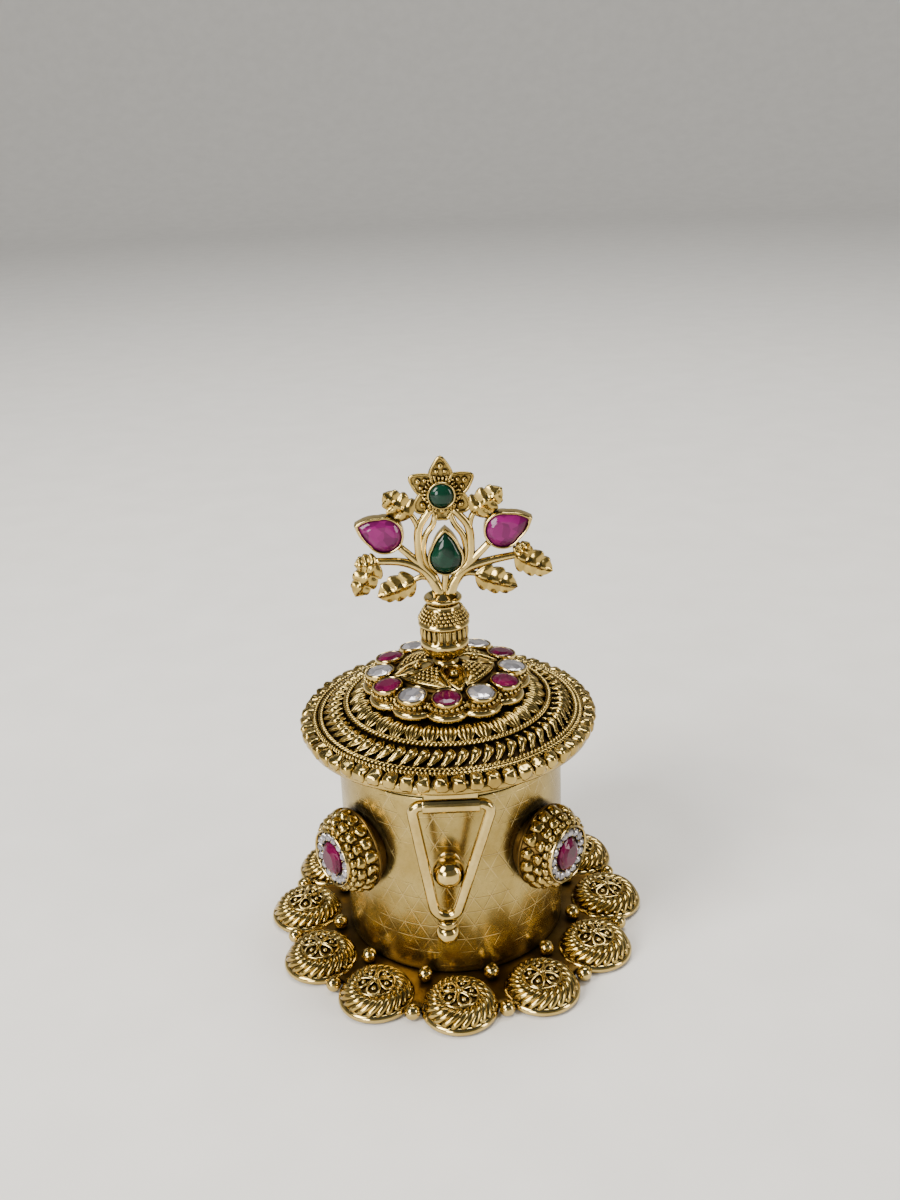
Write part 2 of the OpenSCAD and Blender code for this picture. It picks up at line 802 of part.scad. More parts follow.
module latch_barrel() {
  color("goldenrod")
    difference() {
      union() {
        translate([-barrel_half, latch_y, latch_z]) rotate([0, 90, 0]) cylinder(r = barrel_r, h = 2 * barrel_half);
        translate([-barrel_half + 0.15, latch_y + barrel_r - 0.7, latch_z])
          cube([2 * barrel_half - 0.3, 0.7, flange_z0 - latch_z]);
        translate([-barrel_half + 0.15, latch_y - 0.5, latch_z + barrel_r - 0.3])
          cube([2 * barrel_half - 0.3, barrel_r + 0.5, flange_z0 - latch_z - barrel_r + 0.3]);
      }
      translate([-barrel_half - 1, latch_y, latch_z])
        rotate([0, 90, 0]) cylinder(r = wire_r + barrel_clear, h = 2 * barrel_half + 2);
    }
}

// Lean from the vertical of a straight side that touches the shoulder and the toe, dx apart across the loop
function side_lean(dx, h) = atan2(dx, h) - asin((toe_r - shoulder_r) / norm([dx, h]));

// Right shoulder and side of the loop, with the toe at x
module latch_side(x, lean) {
  shoulder_z = latch_z - shoulder_r;
  side_n = [cos(lean), 0, -sin(lean)];
  side_d = [sin(lean), 0, cos(lean)];
  top = [shoulder_x, latch_y, shoulder_z] + shoulder_r * side_n + joint_lap * side_d;
  bottom = [x, latch_y, toe_z] + toe_r * side_n - joint_lap * side_d;
  translate([shoulder_x, latch_y, shoulder_z])
    rotate([90, 0, 0])
      rotate([0, 0, -lean])
        rotate_extrude(angle = 90 + lean) translate([shoulder_r, 0]) circle(r = wire_r);
  aim(bottom, top) cylinder(r = wire_r - joint_step, h = norm(top - bottom));
}

module latch_loop() {
  drop = latch_z - shoulder_r - toe_z;
  lean_right = side_lean(shoulder_x - toe_x, drop);
  lean_left = side_lean(shoulder_x + toe_x, drop);
  color("gold") {
    translate([-shoulder_x - joint_lap, latch_y, latch_z])
      rotate([0, 90, 0]) cylinder(r = wire_r - joint_step, h = 2 * (shoulder_x + joint_lap));
    latch_side(toe_x, lean_right);
    mirror([1, 0, 0]) latch_side(-toe_x, lean_left);
    translate([toe_x, latch_y, toe_z])
      rotate([90, 0, 0])
        rotate([0, 0, 180 + lean_left])
          rotate_extrude(angle = 180 - lean_left - lean_right) translate([toe_r, 0]) circle(r = wire_r);
  }
}

module latch_tip() {
  color("gold") {
    translate([toe_x, latch_y, tip_z]) sphere(r = tip_ball_r);
    translate([toe_x, latch_y, tip_neck_z0]) cylinder(r = tip_neck_r, h = tip_neck_z1 - tip_neck_z0);
  }
}

// ---------- selection ----------

foot_plate();
rosette_domes();
rosette_ribs();
rosette_flowers();
outer_foot_beads();
inner_foot_beads();
pot_cup();
lid_register_ring();
medallion_collar(-1);  // medallion_collar_left
medallion_beads(-1);  // medallion_beads_left
medallion_bezel(-1);  // medallion_bezel_left
medallion_halo(-1);  // medallion_halo_left
medallion_gem(-1);  // medallion_gem_left
medallion_collar(1);  // medallion_collar_right
medallion_beads(1);  // medallion_beads_right
medallion_bezel(1);  // medallion_bezel_right
medallion_halo(1);  // medallion_halo_right
medallion_gem(1);  // medallion_gem_right
latch_post();
hinge_body_leaf();
hinge_pin();
lid_pan();
hinge_lid_leaf();
rim_beads();
outer_twist_wire();
comma_ring();
inner_twist_wire();
leaf_ring();
lobed_plate();
plate_seats();
plate_rubies();
plate_clear_stones();
knob_flower();
knob_sepals();
kalash_vase();
vase_flutes();
fan_stems();
fan_leaves();
top_flower();
fan_seats();
green_cabochon();
green_pear();
ruby_pears();
latch_barrel();
latch_loop();
latch_tip();
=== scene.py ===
"""Looks of the hinged-lid brass pot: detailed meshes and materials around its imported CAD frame.

Shapes are worked out in millimetres in the part's own frame and scaled to metres when a piece is made.
"""
import math
import random
from math import cos, pi, radians, sin
import json

import bpy
from mathutils import Matrix, Vector, noise


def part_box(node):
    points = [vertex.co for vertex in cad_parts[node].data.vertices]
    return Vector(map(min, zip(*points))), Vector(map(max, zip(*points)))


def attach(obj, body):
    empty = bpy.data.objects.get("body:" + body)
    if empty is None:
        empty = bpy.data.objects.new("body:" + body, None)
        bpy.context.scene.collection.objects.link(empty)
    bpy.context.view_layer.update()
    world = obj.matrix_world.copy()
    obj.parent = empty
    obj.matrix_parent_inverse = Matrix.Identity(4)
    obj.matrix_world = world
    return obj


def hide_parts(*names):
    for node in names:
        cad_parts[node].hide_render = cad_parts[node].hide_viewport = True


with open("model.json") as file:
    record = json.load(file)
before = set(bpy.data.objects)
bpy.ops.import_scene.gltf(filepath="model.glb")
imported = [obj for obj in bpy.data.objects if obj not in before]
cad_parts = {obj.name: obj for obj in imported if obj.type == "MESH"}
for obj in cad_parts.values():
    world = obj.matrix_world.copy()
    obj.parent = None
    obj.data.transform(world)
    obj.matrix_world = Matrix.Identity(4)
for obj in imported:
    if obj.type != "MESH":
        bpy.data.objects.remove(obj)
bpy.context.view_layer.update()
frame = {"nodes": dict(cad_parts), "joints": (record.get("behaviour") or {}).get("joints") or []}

MM = 0.001
TAU = 2 * pi
RNG = random.Random(7)


def box_mm(node):
    """Lowest and highest corner of a CAD node in millimetres."""
    low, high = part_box(node)
    return low / MM, high / MM


def joint_mm(name):
    """A joint's pivot in millimetres."""
    found = [j for j in frame["joints"] if j["name"] == name][0]
    return Vector(found["pos_m"]) / MM


# ---------- driving sizes, taken from the frame ----------

BODY_R = box_mm("pot_cup")[1].x
SEAM_Z = box_mm("pot_cup")[1].z
CUP_Z0 = box_mm("pot_cup")[0].z
WALL_T = 0.8
PLATE_T = box_mm("foot_plate")[1].z
FOOT_R = box_mm("rosette_domes")[1].x
ROSETTE_COUNT = 12
ROSETTE_RING_R = 27.0
ROSETTE_R = FOOT_R - ROSETTE_RING_R
RIM_R = box_mm("rim_beads")[1].x
RIM_Z = (box_mm("rim_beads")[0].z + box_mm("rim_beads")[1].z) / 2
FLANGE_Z = 38.6
LATCH = joint_mm("latch_swing")
POST_LOW, POST_HIGH = box_mm("latch_post")
POST_BALL_R = 2.58
MEDALLION_ANGLE = radians(50)
SOLDER_TURN = radians(-2.3)
TRIANGLES_ROUND = 40
MEDALLION_Z = 22.0
FAN_Y = 0.0


# ---------- mesh building ----------


class Shape:
    """Vertices in millimetres and faces, gathered before they become one Blender mesh."""

    def __init__(self):
        self.verts = []
        self.faces = []

    def add(self, verts, faces, place=None):
        base = len(self.verts)
        self.verts += [place @ Vector(v) for v in verts] if place else [Vector(v) for v in verts]
        self.faces += [tuple(base + i for i in f) for f in faces]

    def merge(self, other, place=None):
        self.add(other.verts, other.faces, place)

    def grid(self, rows, closed=False, place=None):
        """Joins equal rows of points into quads, and closes the two ends of a tube."""
        n = len(rows[0])
        verts = [p for row in rows for p in row]
        faces = []
        for i in range(len(rows) if closed else len(rows) - 1):
            j = (i + 1) % len(rows)
            for k in range(n):
                m = (k + 1) % n
                faces.append((i * n + k, i * n + m, j * n + m, j * n + k))
        if not closed:
            faces.append(tuple(reversed(range(n))))
            faces.append(tuple((len(rows) - 1) * n + k for k in range(n)))
        self.add(verts, faces, place)

    def lathe(self, profile, steps=96, place=None, closed=False, warp=None):
        """Turns (radius, height) points round Z. A closed profile makes a ring."""
        rows = []
        for r, z in profile:
            row = []
            for a in round_angles(steps):
                warped_r, warped_z = warp(r, z, a) if warp else (r, z)
                row.append(polar(warped_r, a, warped_z))
            rows.append(row)
        self.grid(rows, closed, place)

    def ball(self, centre, r, rings=8, steps=14, stretch=(1, 1, 1), turn=None, bumps=0.0, place=None):
        """Ball, stretched along its axes and turned, its surface uneven by a share of its radius."""
        centre = Vector(centre)
        rows = []
        for i in range(1, rings):
            lat = pi * i / rings
            row = []
            for a in round_angles(steps):
                d = polar(sin(lat), a, cos(lat))
                s = r * (1 + bumps * noise.noise(d * 1.3 + centre * 0.7)) if bumps else r
                p = Vector([share * s * scale for share, scale in zip(d, stretch)])
                row.append((turn @ p if turn else p) + centre)
            rows.append(row[::-1])
        self.grid(rows, place=place)

    def tube(self, path, radius, sides=8, closed=False, flat=1.0, up=None, place=None):
        """Sweeps a round or flattened section along a path. radius is a number or one value per point."""
        path = [Vector(p) for p in path]
        n = len(path)
        radii = radius if isinstance(radius, (list, tuple)) else [radius] * n
        side = None
        rows = []
        for i, p in enumerate(path):
            before = path[i - 1] if (closed or i > 0) else p
            after = path[(i + 1) % n] if (closed or i < n - 1) else p
            t = (after - before).normalized()
            if up is not None:
                side = Vector(up(p) if callable(up) else up)
            elif side is None:
                side = Vector((0, 0, 1)) if abs(t.z) < 0.9 else Vector((1, 0, 0))
            side = (side - t * side.dot(t)).normalized()
            other = t.cross(side)
            rows.append([p + (side * (cos(a) * flat) + other * sin(a)) * radii[i]
                         for a in round_angles(sides)])
        self.grid(rows, closed, place)

    def cushion(self, centre, half, lean, bumps, place=None, square=0.72, rings=12, steps=18):
        """Squarish hammered bead: a rounded box of the given half sizes."""
        def soft(v):
            return math.copysign(abs(v) ** square, v)

        centre = Vector(centre)
        rows = []
        for i in range(1, rings):
            lat = pi * i / rings
            reach = soft(sin(lat))
            row = []
            for a in round_angles(steps):
                d = Vector((reach * soft(cos(a)), -reach * soft(sin(a)), soft(cos(lat))))
                s = 1 + bumps * noise.noise(d * 1.5 + centre * 0.9)
                row.append(lean @ Vector([share * size * s for share, size in zip(d, half)]) + centre)
            rows.append(row)
        self.grid(rows, place=place)

    def sheet(self, outline, height, base, place=None, rings=6, centre=None):
        """Closed plate over an outline in XY, its back at base, its top at height(share from edge, x, y)."""
        n = len(outline)
        cx, cy = centre or (sum(p[0] for p in outline) / n, sum(p[1] for p in outline) / n)
        rows = [[(x, y, base) for x, y in outline]]
        for i in range(rings):
            s = i / rings
            row = [(x + (cx - x) * s, y + (cy - y) * s) for x, y in outline]
            rows.append([(x, y, height(s, x, y)) for x, y in row])
        self.grid(rows, place=place)


def polar(r, angle, z):
    return Vector((r * cos(angle), r * sin(angle), z))


def spin(angle):
    return Matrix.Rotation(angle, 4, "Z")


def spin_y(angle):
    return Matrix.Rotation(angle, 4, "Y")


def spin_x(angle):
    return Matrix.Rotation(angle, 4, "X")


def shift(x, y, z):
    return Matrix.Translation((x, y, z))


def round_angles(count, offset=0.0):
    """Equal angles round a full turn, moved on by a share of one step."""
    return [TAU * (k + offset) / count for k in range(count)]


def front_angles(count, offset=0.0):
    """Equal angles whose first is at the front, moved on by an offset in degrees."""
    return [-pi / 2 + radians(offset) + TAU * i / count for i in range(count)]


def between(a, b, n):
    """Points (x, y) that part the line from a to b into n, without its ends."""
    return [(a[0] + (b[0] - a[0]) * k / n, a[1] + (b[1] - a[1]) * k / n) for k in range(1, n)]


def arc(cx, cy, r, start, end, steps):
    """Points (x, y) on a circle, angles in degrees."""
    out = []
    for i in range(steps + 1):
        a = radians(start + (end - start) * i / steps)
        out.append((cx + r * cos(a), cy + r * sin(a)))
    return out


def lobed_radius(a, ring_r, lobe_r):
    """Outline radius at an angle of twelve round lobes centred on a ring, the first at the front."""
    step = TAU / ROSETTE_COUNT
    off = (a + pi / 2 + step / 2) % step - step / 2
    side = ring_r * sin(off)
    if abs(side) >= lobe_r:
        return ring_r * cos(off) * 0.99
    return ring_r * cos(off) + math.sqrt(lobe_r * lobe_r - side * side)


def smooth_path(points, per=8):
    """Catmull-Rom curve through given points."""
    pts = [Vector(p) for p in points]
    ext = [pts[0] * 2 - pts[1]] + pts + [pts[-1] * 2 - pts[-2]]
    out = []
    for i in range(1, len(ext) - 2):
        a, b, c, d = ext[i - 1 : i + 3]
        for k in range(per):
            t = k / per
            out.append(0.5 * (2 * b + (c - a) * t + (2 * a - 5 * b + 4 * c - d) * t * t
                              + (3 * b - a - 3 * c + d) * t ** 3))
    out.append(pts[-1])
    return out


def new_object(name, data):
    obj = bpy.data.objects.new(name, data)
    bpy.context.scene.collection.objects.link(obj)
    return obj


def make(name, shape, body, material, nodes=(), sharp=None, flat=False):
    """Turns a shape into a piece that rides on a CAD body and stands for the given nodes."""
    mesh = bpy.data.meshes.new(name)
    mesh.from_pydata([v * MM for v in shape.verts], [], shape.faces)
    mesh.validate()
    if not flat:
        mesh.shade_smooth()
        if sharp is not None:
            mesh.set_sharp_from_angle(angle=radians(sharp))
    mesh.materials.append(material)
    obj = new_object(name, mesh)
    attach(obj, body)
    if nodes:
        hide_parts(*nodes)
    return obj


# ---------- materials ----------


def new_material(name):
    mat = bpy.data.materials.new(name)
    mat.use_nodes = True
    tree = mat.node_tree
    return mat, tree, tree.nodes["Principled BSDF"]


def feed(tree, socket, value):
    """Gives an input a plain value, or links it to another node's output."""
    if isinstance(value, (int, float, tuple)):
        socket.default_value = value
    else:
        tree.links.new(value, socket)


def add_node(tree, kind, **values):
    """Adds a node and sets its inputs and its own settings by name."""
    node = tree.nodes.new(kind)
    for key, value in values.items():
        if key in node.inputs:
            feed(tree, node.inputs[key], value)
        else:
            setattr(node, key, value)
    return node


def math_node(tree, operation, *values):
    node = add_node(tree, "ShaderNodeMath", operation=operation)
    for socket, value in zip(node.inputs, values):
        feed(tree, socket, value)
    return node.outputs[0]


def ramp_node(tree, source, stops):
    node = add_node(tree, "ShaderNodeValToRGB")
    ramp = node.color_ramp
    while len(ramp.elements) < len(stops):
        ramp.elements.new(0.5)
    for element, (at, colour) in zip(ramp.elements, stops):
        element.position = at
        element.color = (*colour, 1)
    tree.links.new(source, node.inputs["Fac"])
    return node.outputs["Color"]


def grey(v):
    return (v, v, v)


def mix_colour(tree, fac, a, b, blend="MIX"):
    node = add_node(tree, "ShaderNodeMix", data_type="RGBA", blend_type=blend)
    sockets = [s for s in node.inputs if s.type == "RGBA"]
    for socket, value in ((node.inputs[0], fac), (sockets[0], a), (sockets[1], b)):
        feed(tree, socket, value)
    return [s for s in node.outputs if s.type == "RGBA"][0]


def gold(name, bright, deep, patina_and_shade, rough, hollow=1.2, hammer=0.25, engraved=False):
    """Antiqued gold plate: rubbed bright where it stands proud and open; in the hollows, brown patina and
    painted shade from ambient occlusion.
    """
    mat, tree, bsdf = new_material(name)
    coords = add_node(tree, "ShaderNodeTexCoord").outputs["Object"]
    noise_kind = "ShaderNodeTexNoise"
    cloud = add_node(tree, noise_kind, Vector=coords, Scale=180.0, Detail=4.0, Roughness=0.6).outputs["Fac"]
    speck = add_node(tree, noise_kind, Vector=coords, Scale=1400.0, Detail=3.0, Roughness=0.65).outputs["Fac"]
    tone = ramp_node(tree, cloud, [(0.36, deep), (0.62, bright)])
    # painted shade and patina: ambient occlusion finds hollows and gaps, which turn to the near-black
    # patina-and-shade colour
    shade = add_node(tree, "ShaderNodeAmbientOcclusion", samples=8, Distance=hollow * MM)
    open_share = ramp_node(tree, shade.outputs["AO"], [(0.32, grey(0)), (0.8, grey(1))])
    dirt = math_node(tree, "MULTIPLY_ADD", speck, 0.5, 0.72)
    wear_and_shade_share = math_node(tree, "MULTIPLY", open_share, dirt)
    wear_and_shade_share.node.use_clamp = True
    # colour: gold tone where open, patina and painted shade in the hollows, dimmed a little by dirt specks
    colour = mix_colour(tree, wear_and_shade_share, (*patina_and_shade, 1), tone)
    height = cloud
    if engraved:
        lines = engraving(tree, coords)
        colour = mix_colour(tree, math_node(tree, "MULTIPLY", lines, 0.28), colour, (*LINE_GOLD, 1))
        height = math_node(tree, "SUBTRACT", height, math_node(tree, "MULTIPLY", lines, 1.6))
    roughness = math_node(tree, "MULTIPLY_ADD", wear_and_shade_share, -0.28, rough + 0.28)
    grit = math_node(tree, "MULTIPLY_ADD", speck, 0.14, -0.07)
    bump = add_node(tree, "ShaderNodeBump", Strength=hammer, Distance=0.12 * MM, Height=height)
    fine = add_node(tree, "ShaderNodeBump", Strength=0.10, Distance=0.03 * MM, Height=speck,
                    Normal=bump.outputs["Normal"])
    feed(tree, bsdf.inputs["Base Color"], colour)
    feed(tree, bsdf.inputs["Metallic"], 1.0)
    feed(tree, bsdf.inputs["Roughness"], math_node(tree, "ADD", roughness, grit))
    feed(tree, bsdf.inputs["Normal"], fine.outputs["Normal"])
    return mat


def engraving(tree, coords):
    """A lattice of engraved triangles, rubbed out in patches, on the unrolled wall: 1 on a line, 0 between.
    """
    split = add_node(tree, "ShaderNodeSeparateXYZ")
    feed(tree, split.inputs[0], coords)
    turn = math_node(tree, "ARCTAN2", split.outputs["X"], split.outputs["Y"])
    along = math_node(tree, "MULTIPLY", turn, BODY_R * MM)
    up = split.outputs["Z"]
    # the pitch goes a whole number of times round the wall, so the lattice closes on itself
    pitch = TAU * BODY_R * MM / TRIANGLES_ROUND
    row = pitch * math.sqrt(3) / 2
    total = None
    for share in (0.0, 0.5, -0.5):
        if share == 0.0:
            phase = math_node(tree, "DIVIDE", up, row)
        else:
            phase = math_node(tree, "ADD", math_node(tree, "DIVIDE", along, pitch),
                              math_node(tree, "MULTIPLY", up, share / row))
        part = math_node(tree, "FRACT", phase)
        near = math_node(tree, "MINIMUM", part, math_node(tree, "SUBTRACT", 1.0, part))
        line = ramp_node(tree, near, [(0.012, grey(1)), (0.04, grey(0))])
        total = line if total is None else math_node(tree, "MAXIMUM", total, line)
    patchy = add_node(tree, "ShaderNodeTexNoise", Vector=coords, Scale=260.0, Detail=2.0)
    keep = ramp_node(tree, patchy.outputs["Fac"], [(0.42, grey(0)), (0.56, grey(1))])
    # only the outside of the wall is engraved
    flat = add_node(tree, "ShaderNodeCombineXYZ", X=split.outputs["X"], Y=split.outputs["Y"])
    radius = add_node(tree, "ShaderNodeVectorMath", operation="LENGTH")
    feed(tree, radius.inputs[0], flat.outputs[0])
    outside = math_node(tree, "GREATER_THAN", radius.outputs["Value"], (BODY_R - 0.5 * WALL_T) * MM)
    return math_node(tree, "MULTIPLY", math_node(tree, "MULTIPLY", total, keep), outside)


def gem(name, edge, painted_highlight_heart, rough=0.03, metallic=0.0):
    """Stone with painted light: a bright, clear heart colour (painted inner reflection) where it faces the
    view, deeper edge colour (painted shade) towards its edge, and painted glints in small cells.
    """
    mat, tree, bsdf = new_material(name)
    coords = add_node(tree, "ShaderNodeTexCoord").outputs["Object"]
    cells = add_node(tree, "ShaderNodeTexVoronoi", Vector=coords, Scale=620.0)
    haze = add_node(tree, "ShaderNodeTexNoise", Vector=coords, Scale=500.0, Detail=3.0)
    # painted light: heart colour where the surface faces the view, edge colour where it turns away
    facing = add_node(tree, "ShaderNodeLayerWeight", Blend=0.35)
    base = mix_colour(tree, facing.outputs["Facing"], (*painted_highlight_heart, 1), (*edge, 1))
    # painted glints: cells brightened or dimmed at random
    glints = ramp_node(tree, cells.outputs["Color"], [(0.25, grey(0.5)), (0.75, grey(1.6))])
    colour = mix_colour(tree, 0.6, base, mix_colour(tree, 1.0, base, glints, "MULTIPLY"))
    feed(tree, bsdf.inputs["Base Color"], colour)
    feed(tree, bsdf.inputs["Metallic"], metallic)
    feed(tree, bsdf.inputs["Roughness"], math_node(tree, "MULTIPLY_ADD", haze.outputs["Fac"], 0.08, rough))
    feed(tree, bsdf.inputs["IOR"], 1.36)
    return mat


BRIGHT = (0.53, 0.385, 0.12)
DEEP = (0.34, 0.23, 0.06)
# near-black of the hollows: real patina and painted shade
RECESS_PATINA_AND_SHADE = (0.022, 0.010, 0.002)
WALL_BRIGHT = (0.42, 0.32, 0.11)
WALL_DEEP = (0.33, 0.235, 0.07)
LINE_GOLD = (0.80, 0.64, 0.32)

GOLD = gold("antique_gold", BRIGHT, DEEP, RECESS_PATINA_AND_SHADE, 0.15)
POLISHED = gold("polished_gold", (0.63, 0.475, 0.175), (0.50, 0.36, 0.115), RECESS_PATINA_AND_SHADE, 0.1, 0.6, 0.1)
WALL = gold("wall_gold", WALL_BRIGHT, WALL_DEEP, RECESS_PATINA_AND_SHADE, 0.24, hollow=1.6, engraved=True)
SATIN = gold("satin_gold", WALL_BRIGHT, WALL_DEEP, RECESS_PATINA_AND_SHADE, 0.24, hollow=1.6)
AGED = gold("aged_gold", (0.39, 0.28, 0.08), (0.26, 0.17, 0.042), RECESS_PATINA_AND_SHADE, 0.22, hollow=1.6)
# painted shade: a dark copy of the gold for sheets that lie in shade between and under other parts
SHADE_GOLD = gold("painted_shade_gold", (0.16, 0.095, 0.024), (0.09, 0.05, 0.012), (0.008, 0.004, 0.001), 0.34, 2.5)
# oxide and painted shade: near-black gold for the lid sheet seen through the filigree gaps
OXIDE_SHADE_BACKING = gold("oxide_and_shade_backing", (0.06, 0.035, 0.012), (0.03, 0.017, 0.006), (0.008, 0.005, 0.002), 0.45)
RUBY = gem("ruby", (0.025, 0.001, 0.008), (0.105, 0.002, 0.032))
# lighter copy of the ruby for the upright bouquet stones: a brighter painted highlight in the heart
RUBY_PAINTED_LIT = gem("ruby_painted_lit", (0.045, 0.001, 0.018), (0.135, 0.006, 0.075))
GREEN = gem("emerald", (0.001, 0.006, 0.003), (0.002, 0.024, 0.012))
CLEAR = gem("clear", (0.10, 0.095, 0.10), (0.46, 0.44, 0.46), metallic=0.6)


# ---------- foot ----------


def rosette_rim(out):
    """Thick rolled edge of one rosette and the dome under its ribs, closed below."""
    roll = 0.72
    edge_r = ROSETTE_R - roll
    profile = [(0.01, 0.08), (edge_r, 0.05)] + arc(edge_r, roll + 0.05, roll, -78, 112, 13)
    out.lathe(profile + [(4.75, 1.3), (4.3, 1.7), (3.6, 2.3), (2.8, 2.6), (0.01, 2.7)], 60)


def rosette_whirl(out, ribs=22):
    """Fat curved gadroons side by side, sweeping out from the flower and rolling over onto the edge."""
    for start in round_angles(ribs):
        path, radii = [], []
        for k in range(12):
            t = k / 11
            r = 2.8 + 2.72 * t
            angle = start - radians(37) * t ** 1.7
            path.append(polar(r, angle, 2.55 + 0.62 * sin(pi * t * 0.9) - 1.4 * t ** 2.2))
            radii.append(0.30 + 0.33 * sin(pi * min(1, 0.05 + 0.72 * t)) ** 0.9)
        out.tube(path, radii, 9)


def rosette_flower(out, cap, petals=5):
    """Raised filigree flower: looped wire petals with a grain in each over a wired cap made dark as painted
    shade.
    """
    cap.lathe([(0.01, 2.5), (3.1, 2.5), (3.2, 3.0), (3.0, 3.25), (2.2, 3.5), (1.2, 3.68), (0.01, 3.75)], 48)
    out.lathe(arc(3.08, 3.25, 0.25, 0, 360, 9)[:-1], 52, closed=True)
    for petal_angle in round_angles(petals, 0.25):
        place = spin(petal_angle)
        loop = []
        for a in round_angles(28):
            u = 1.78 - 1.24 * cos(a)
            width = 1.22 * sin(a) * (0.76 - 0.36 * cos(a))
            loop.append((u, width, 4.1 - 0.07 * u * u))
        out.tube(loop, 0.22, 7, closed=True, place=place)
        out.ball((1.95, 0, 3.75), 0.42, 8, 12, place=place)
    out.ball((0, 0, 4.1), 0.46, 8, 12)


def ring_of_rosettes(part):
    shape, one = Shape(), Shape()
    part(one)
    for a in front_angles(ROSETTE_COUNT):
        shape.merge(one, spin(a) @ shift(ROSETTE_RING_R, 0, 0) @ spin(RNG.uniform(0, 0.3)))
    return shape


def foot_beads(node, ring_r):
    low, high = box_mm(node)
    r = (high.z - low.z) / 2
    shape = Shape()
    for a in front_angles(ROSETTE_COUNT, 180 / ROSETTE_COUNT):
        shape.ball(polar(ring_r, a, (low.z + high.z) / 2), r * 0.99, 14, 24, bumps=0.05)
    return shape


def foot_sheet():
    """Thin sheet that joins the rosettes, scalloped to follow them and soft at its edge."""
    shape = Shape()
    rows = []
    for shrink, z in ((0.25, 0.02), (0.0, 0.25), (0.0, PLATE_T - 0.25), (0.25, PLATE_T), (6.0, PLATE_T)):
        row = []
        for a in round_angles(480):
            reach = max(lobed_radius(a, ROSETTE_RING_R, 5.6 - shrink), ROSETTE_RING_R + 0.6 - shrink)
            row.append(polar(reach, a, z))
        rows.append(row)
    shape.grid(rows)
    return shape


def build_foot():
    # the sheet between the rosettes is painted dark as shade
    make("foot_sheet", foot_sheet(), "pot", SHADE_GOLD, ["foot_plate"], sharp=50)
    make("rosette_rims", ring_of_rosettes(rosette_rim), "pot", POLISHED, ["rosette_domes"])
    make("rosette_whirls", ring_of_rosettes(rosette_whirl), "pot", GOLD, ["rosette_ribs"])
    caps = Shape()
    wires = ring_of_rosettes(lambda out: rosette_flower(out, Shape()))
    caps.merge(ring_of_rosettes(lambda out: rosette_flower(Shape(), out)))
    make("rosette_filigree", wires, "pot", POLISHED, ["rosette_flowers"])
    # the caps under the flower wires are painted dark as shade
    make("rosette_caps", caps, "pot", SHADE_GOLD)
    for label, ring_r in (("outer", 29.3), ("inner", 21.2)):
        node = label + "_foot_beads"
        make("foot_balls_" + label, foot_beads(node, ring_r), "pot", POLISHED, [node])


# ---------- pot ----------


def dented(r, z, a):
    """Slight unevenness of hand-worked sheet."""
    p = Vector((r * cos(a), r * sin(a), z)) * 0.09
    return r - 0.10 * abs(noise.noise(p)), z


def build_cup():
    shape = Shape()
    inner = BODY_R - WALL_T
    outer = [(BODY_R - 0.3, CUP_Z0), (BODY_R - 0.08, CUP_Z0 + 0.12), (BODY_R, CUP_Z0 + 0.4)]
    outer += [(BODY_R, CUP_Z0 + 0.4 + (SEAM_Z - CUP_Z0 - 0.7) * i / 24) for i in range(1, 25)]
    lip = [(BODY_R - 0.08, SEAM_Z - 0.08), (BODY_R - 0.3, SEAM_Z), (inner + 0.25, SEAM_Z),
           (inner + 0.05, SEAM_Z - 0.1)]
    inside = [(inner, SEAM_Z - 0.4), (inner, CUP_Z0 + 1.8), (inner - 0.5, CUP_Z0 + 1.15),
              (inner - 1.2, CUP_Z0 + 1.0)]
    shape.lathe([(0.01, CUP_Z0)] + outer + lip + inside + [(0.01, CUP_Z0 + 1.0)], 180, warp=dented)
    make("pot_wall", shape, "pot", WALL, ["pot_cup"], sharp=50)


# ---------- side medallions ----------


def medallion_place(side):
    """Maps +Z of a medallion to the direction that points out of the wall."""
    return (spin(-pi / 2 + SOLDER_TURN + side * MEDALLION_ANGLE) @ shift(0, 0, MEDALLION_Z)
            @ spin_y(pi / 2))


def knob_row(shape, count, ring_r, level, r, place, offset=0.0, stretch=(1, 1, 1), turn=0.0):
    for a in round_angles(count, offset):
        size = r * RNG.uniform(0.9, 1.06)
        lean = spin(a + turn)
        half = [size * s for s in stretch]
        shape.cushion(polar(ring_r, a, level), half, lean.to_3x3(), 0.3, place, 0.85, 9, 14)


def faceted_stone(shape, a, b, girdle, crown, place, sides=12, table=0.55):
    """Cut stone with two tiers of crown facets."""
    rows = []
    for scale, z, half in ((1.0, 0.0, 0.0), (1.0, girdle, 0.0), (0.86, girdle + crown * 0.55, 0.5),
                           (table, girdle + crown, 0.0)):
        angles = round_angles(sides, half)
        rows.append([(a * scale * cos(t), b * scale * sin(t), z) for t in angles])
    shape.grid(rows, place=place)


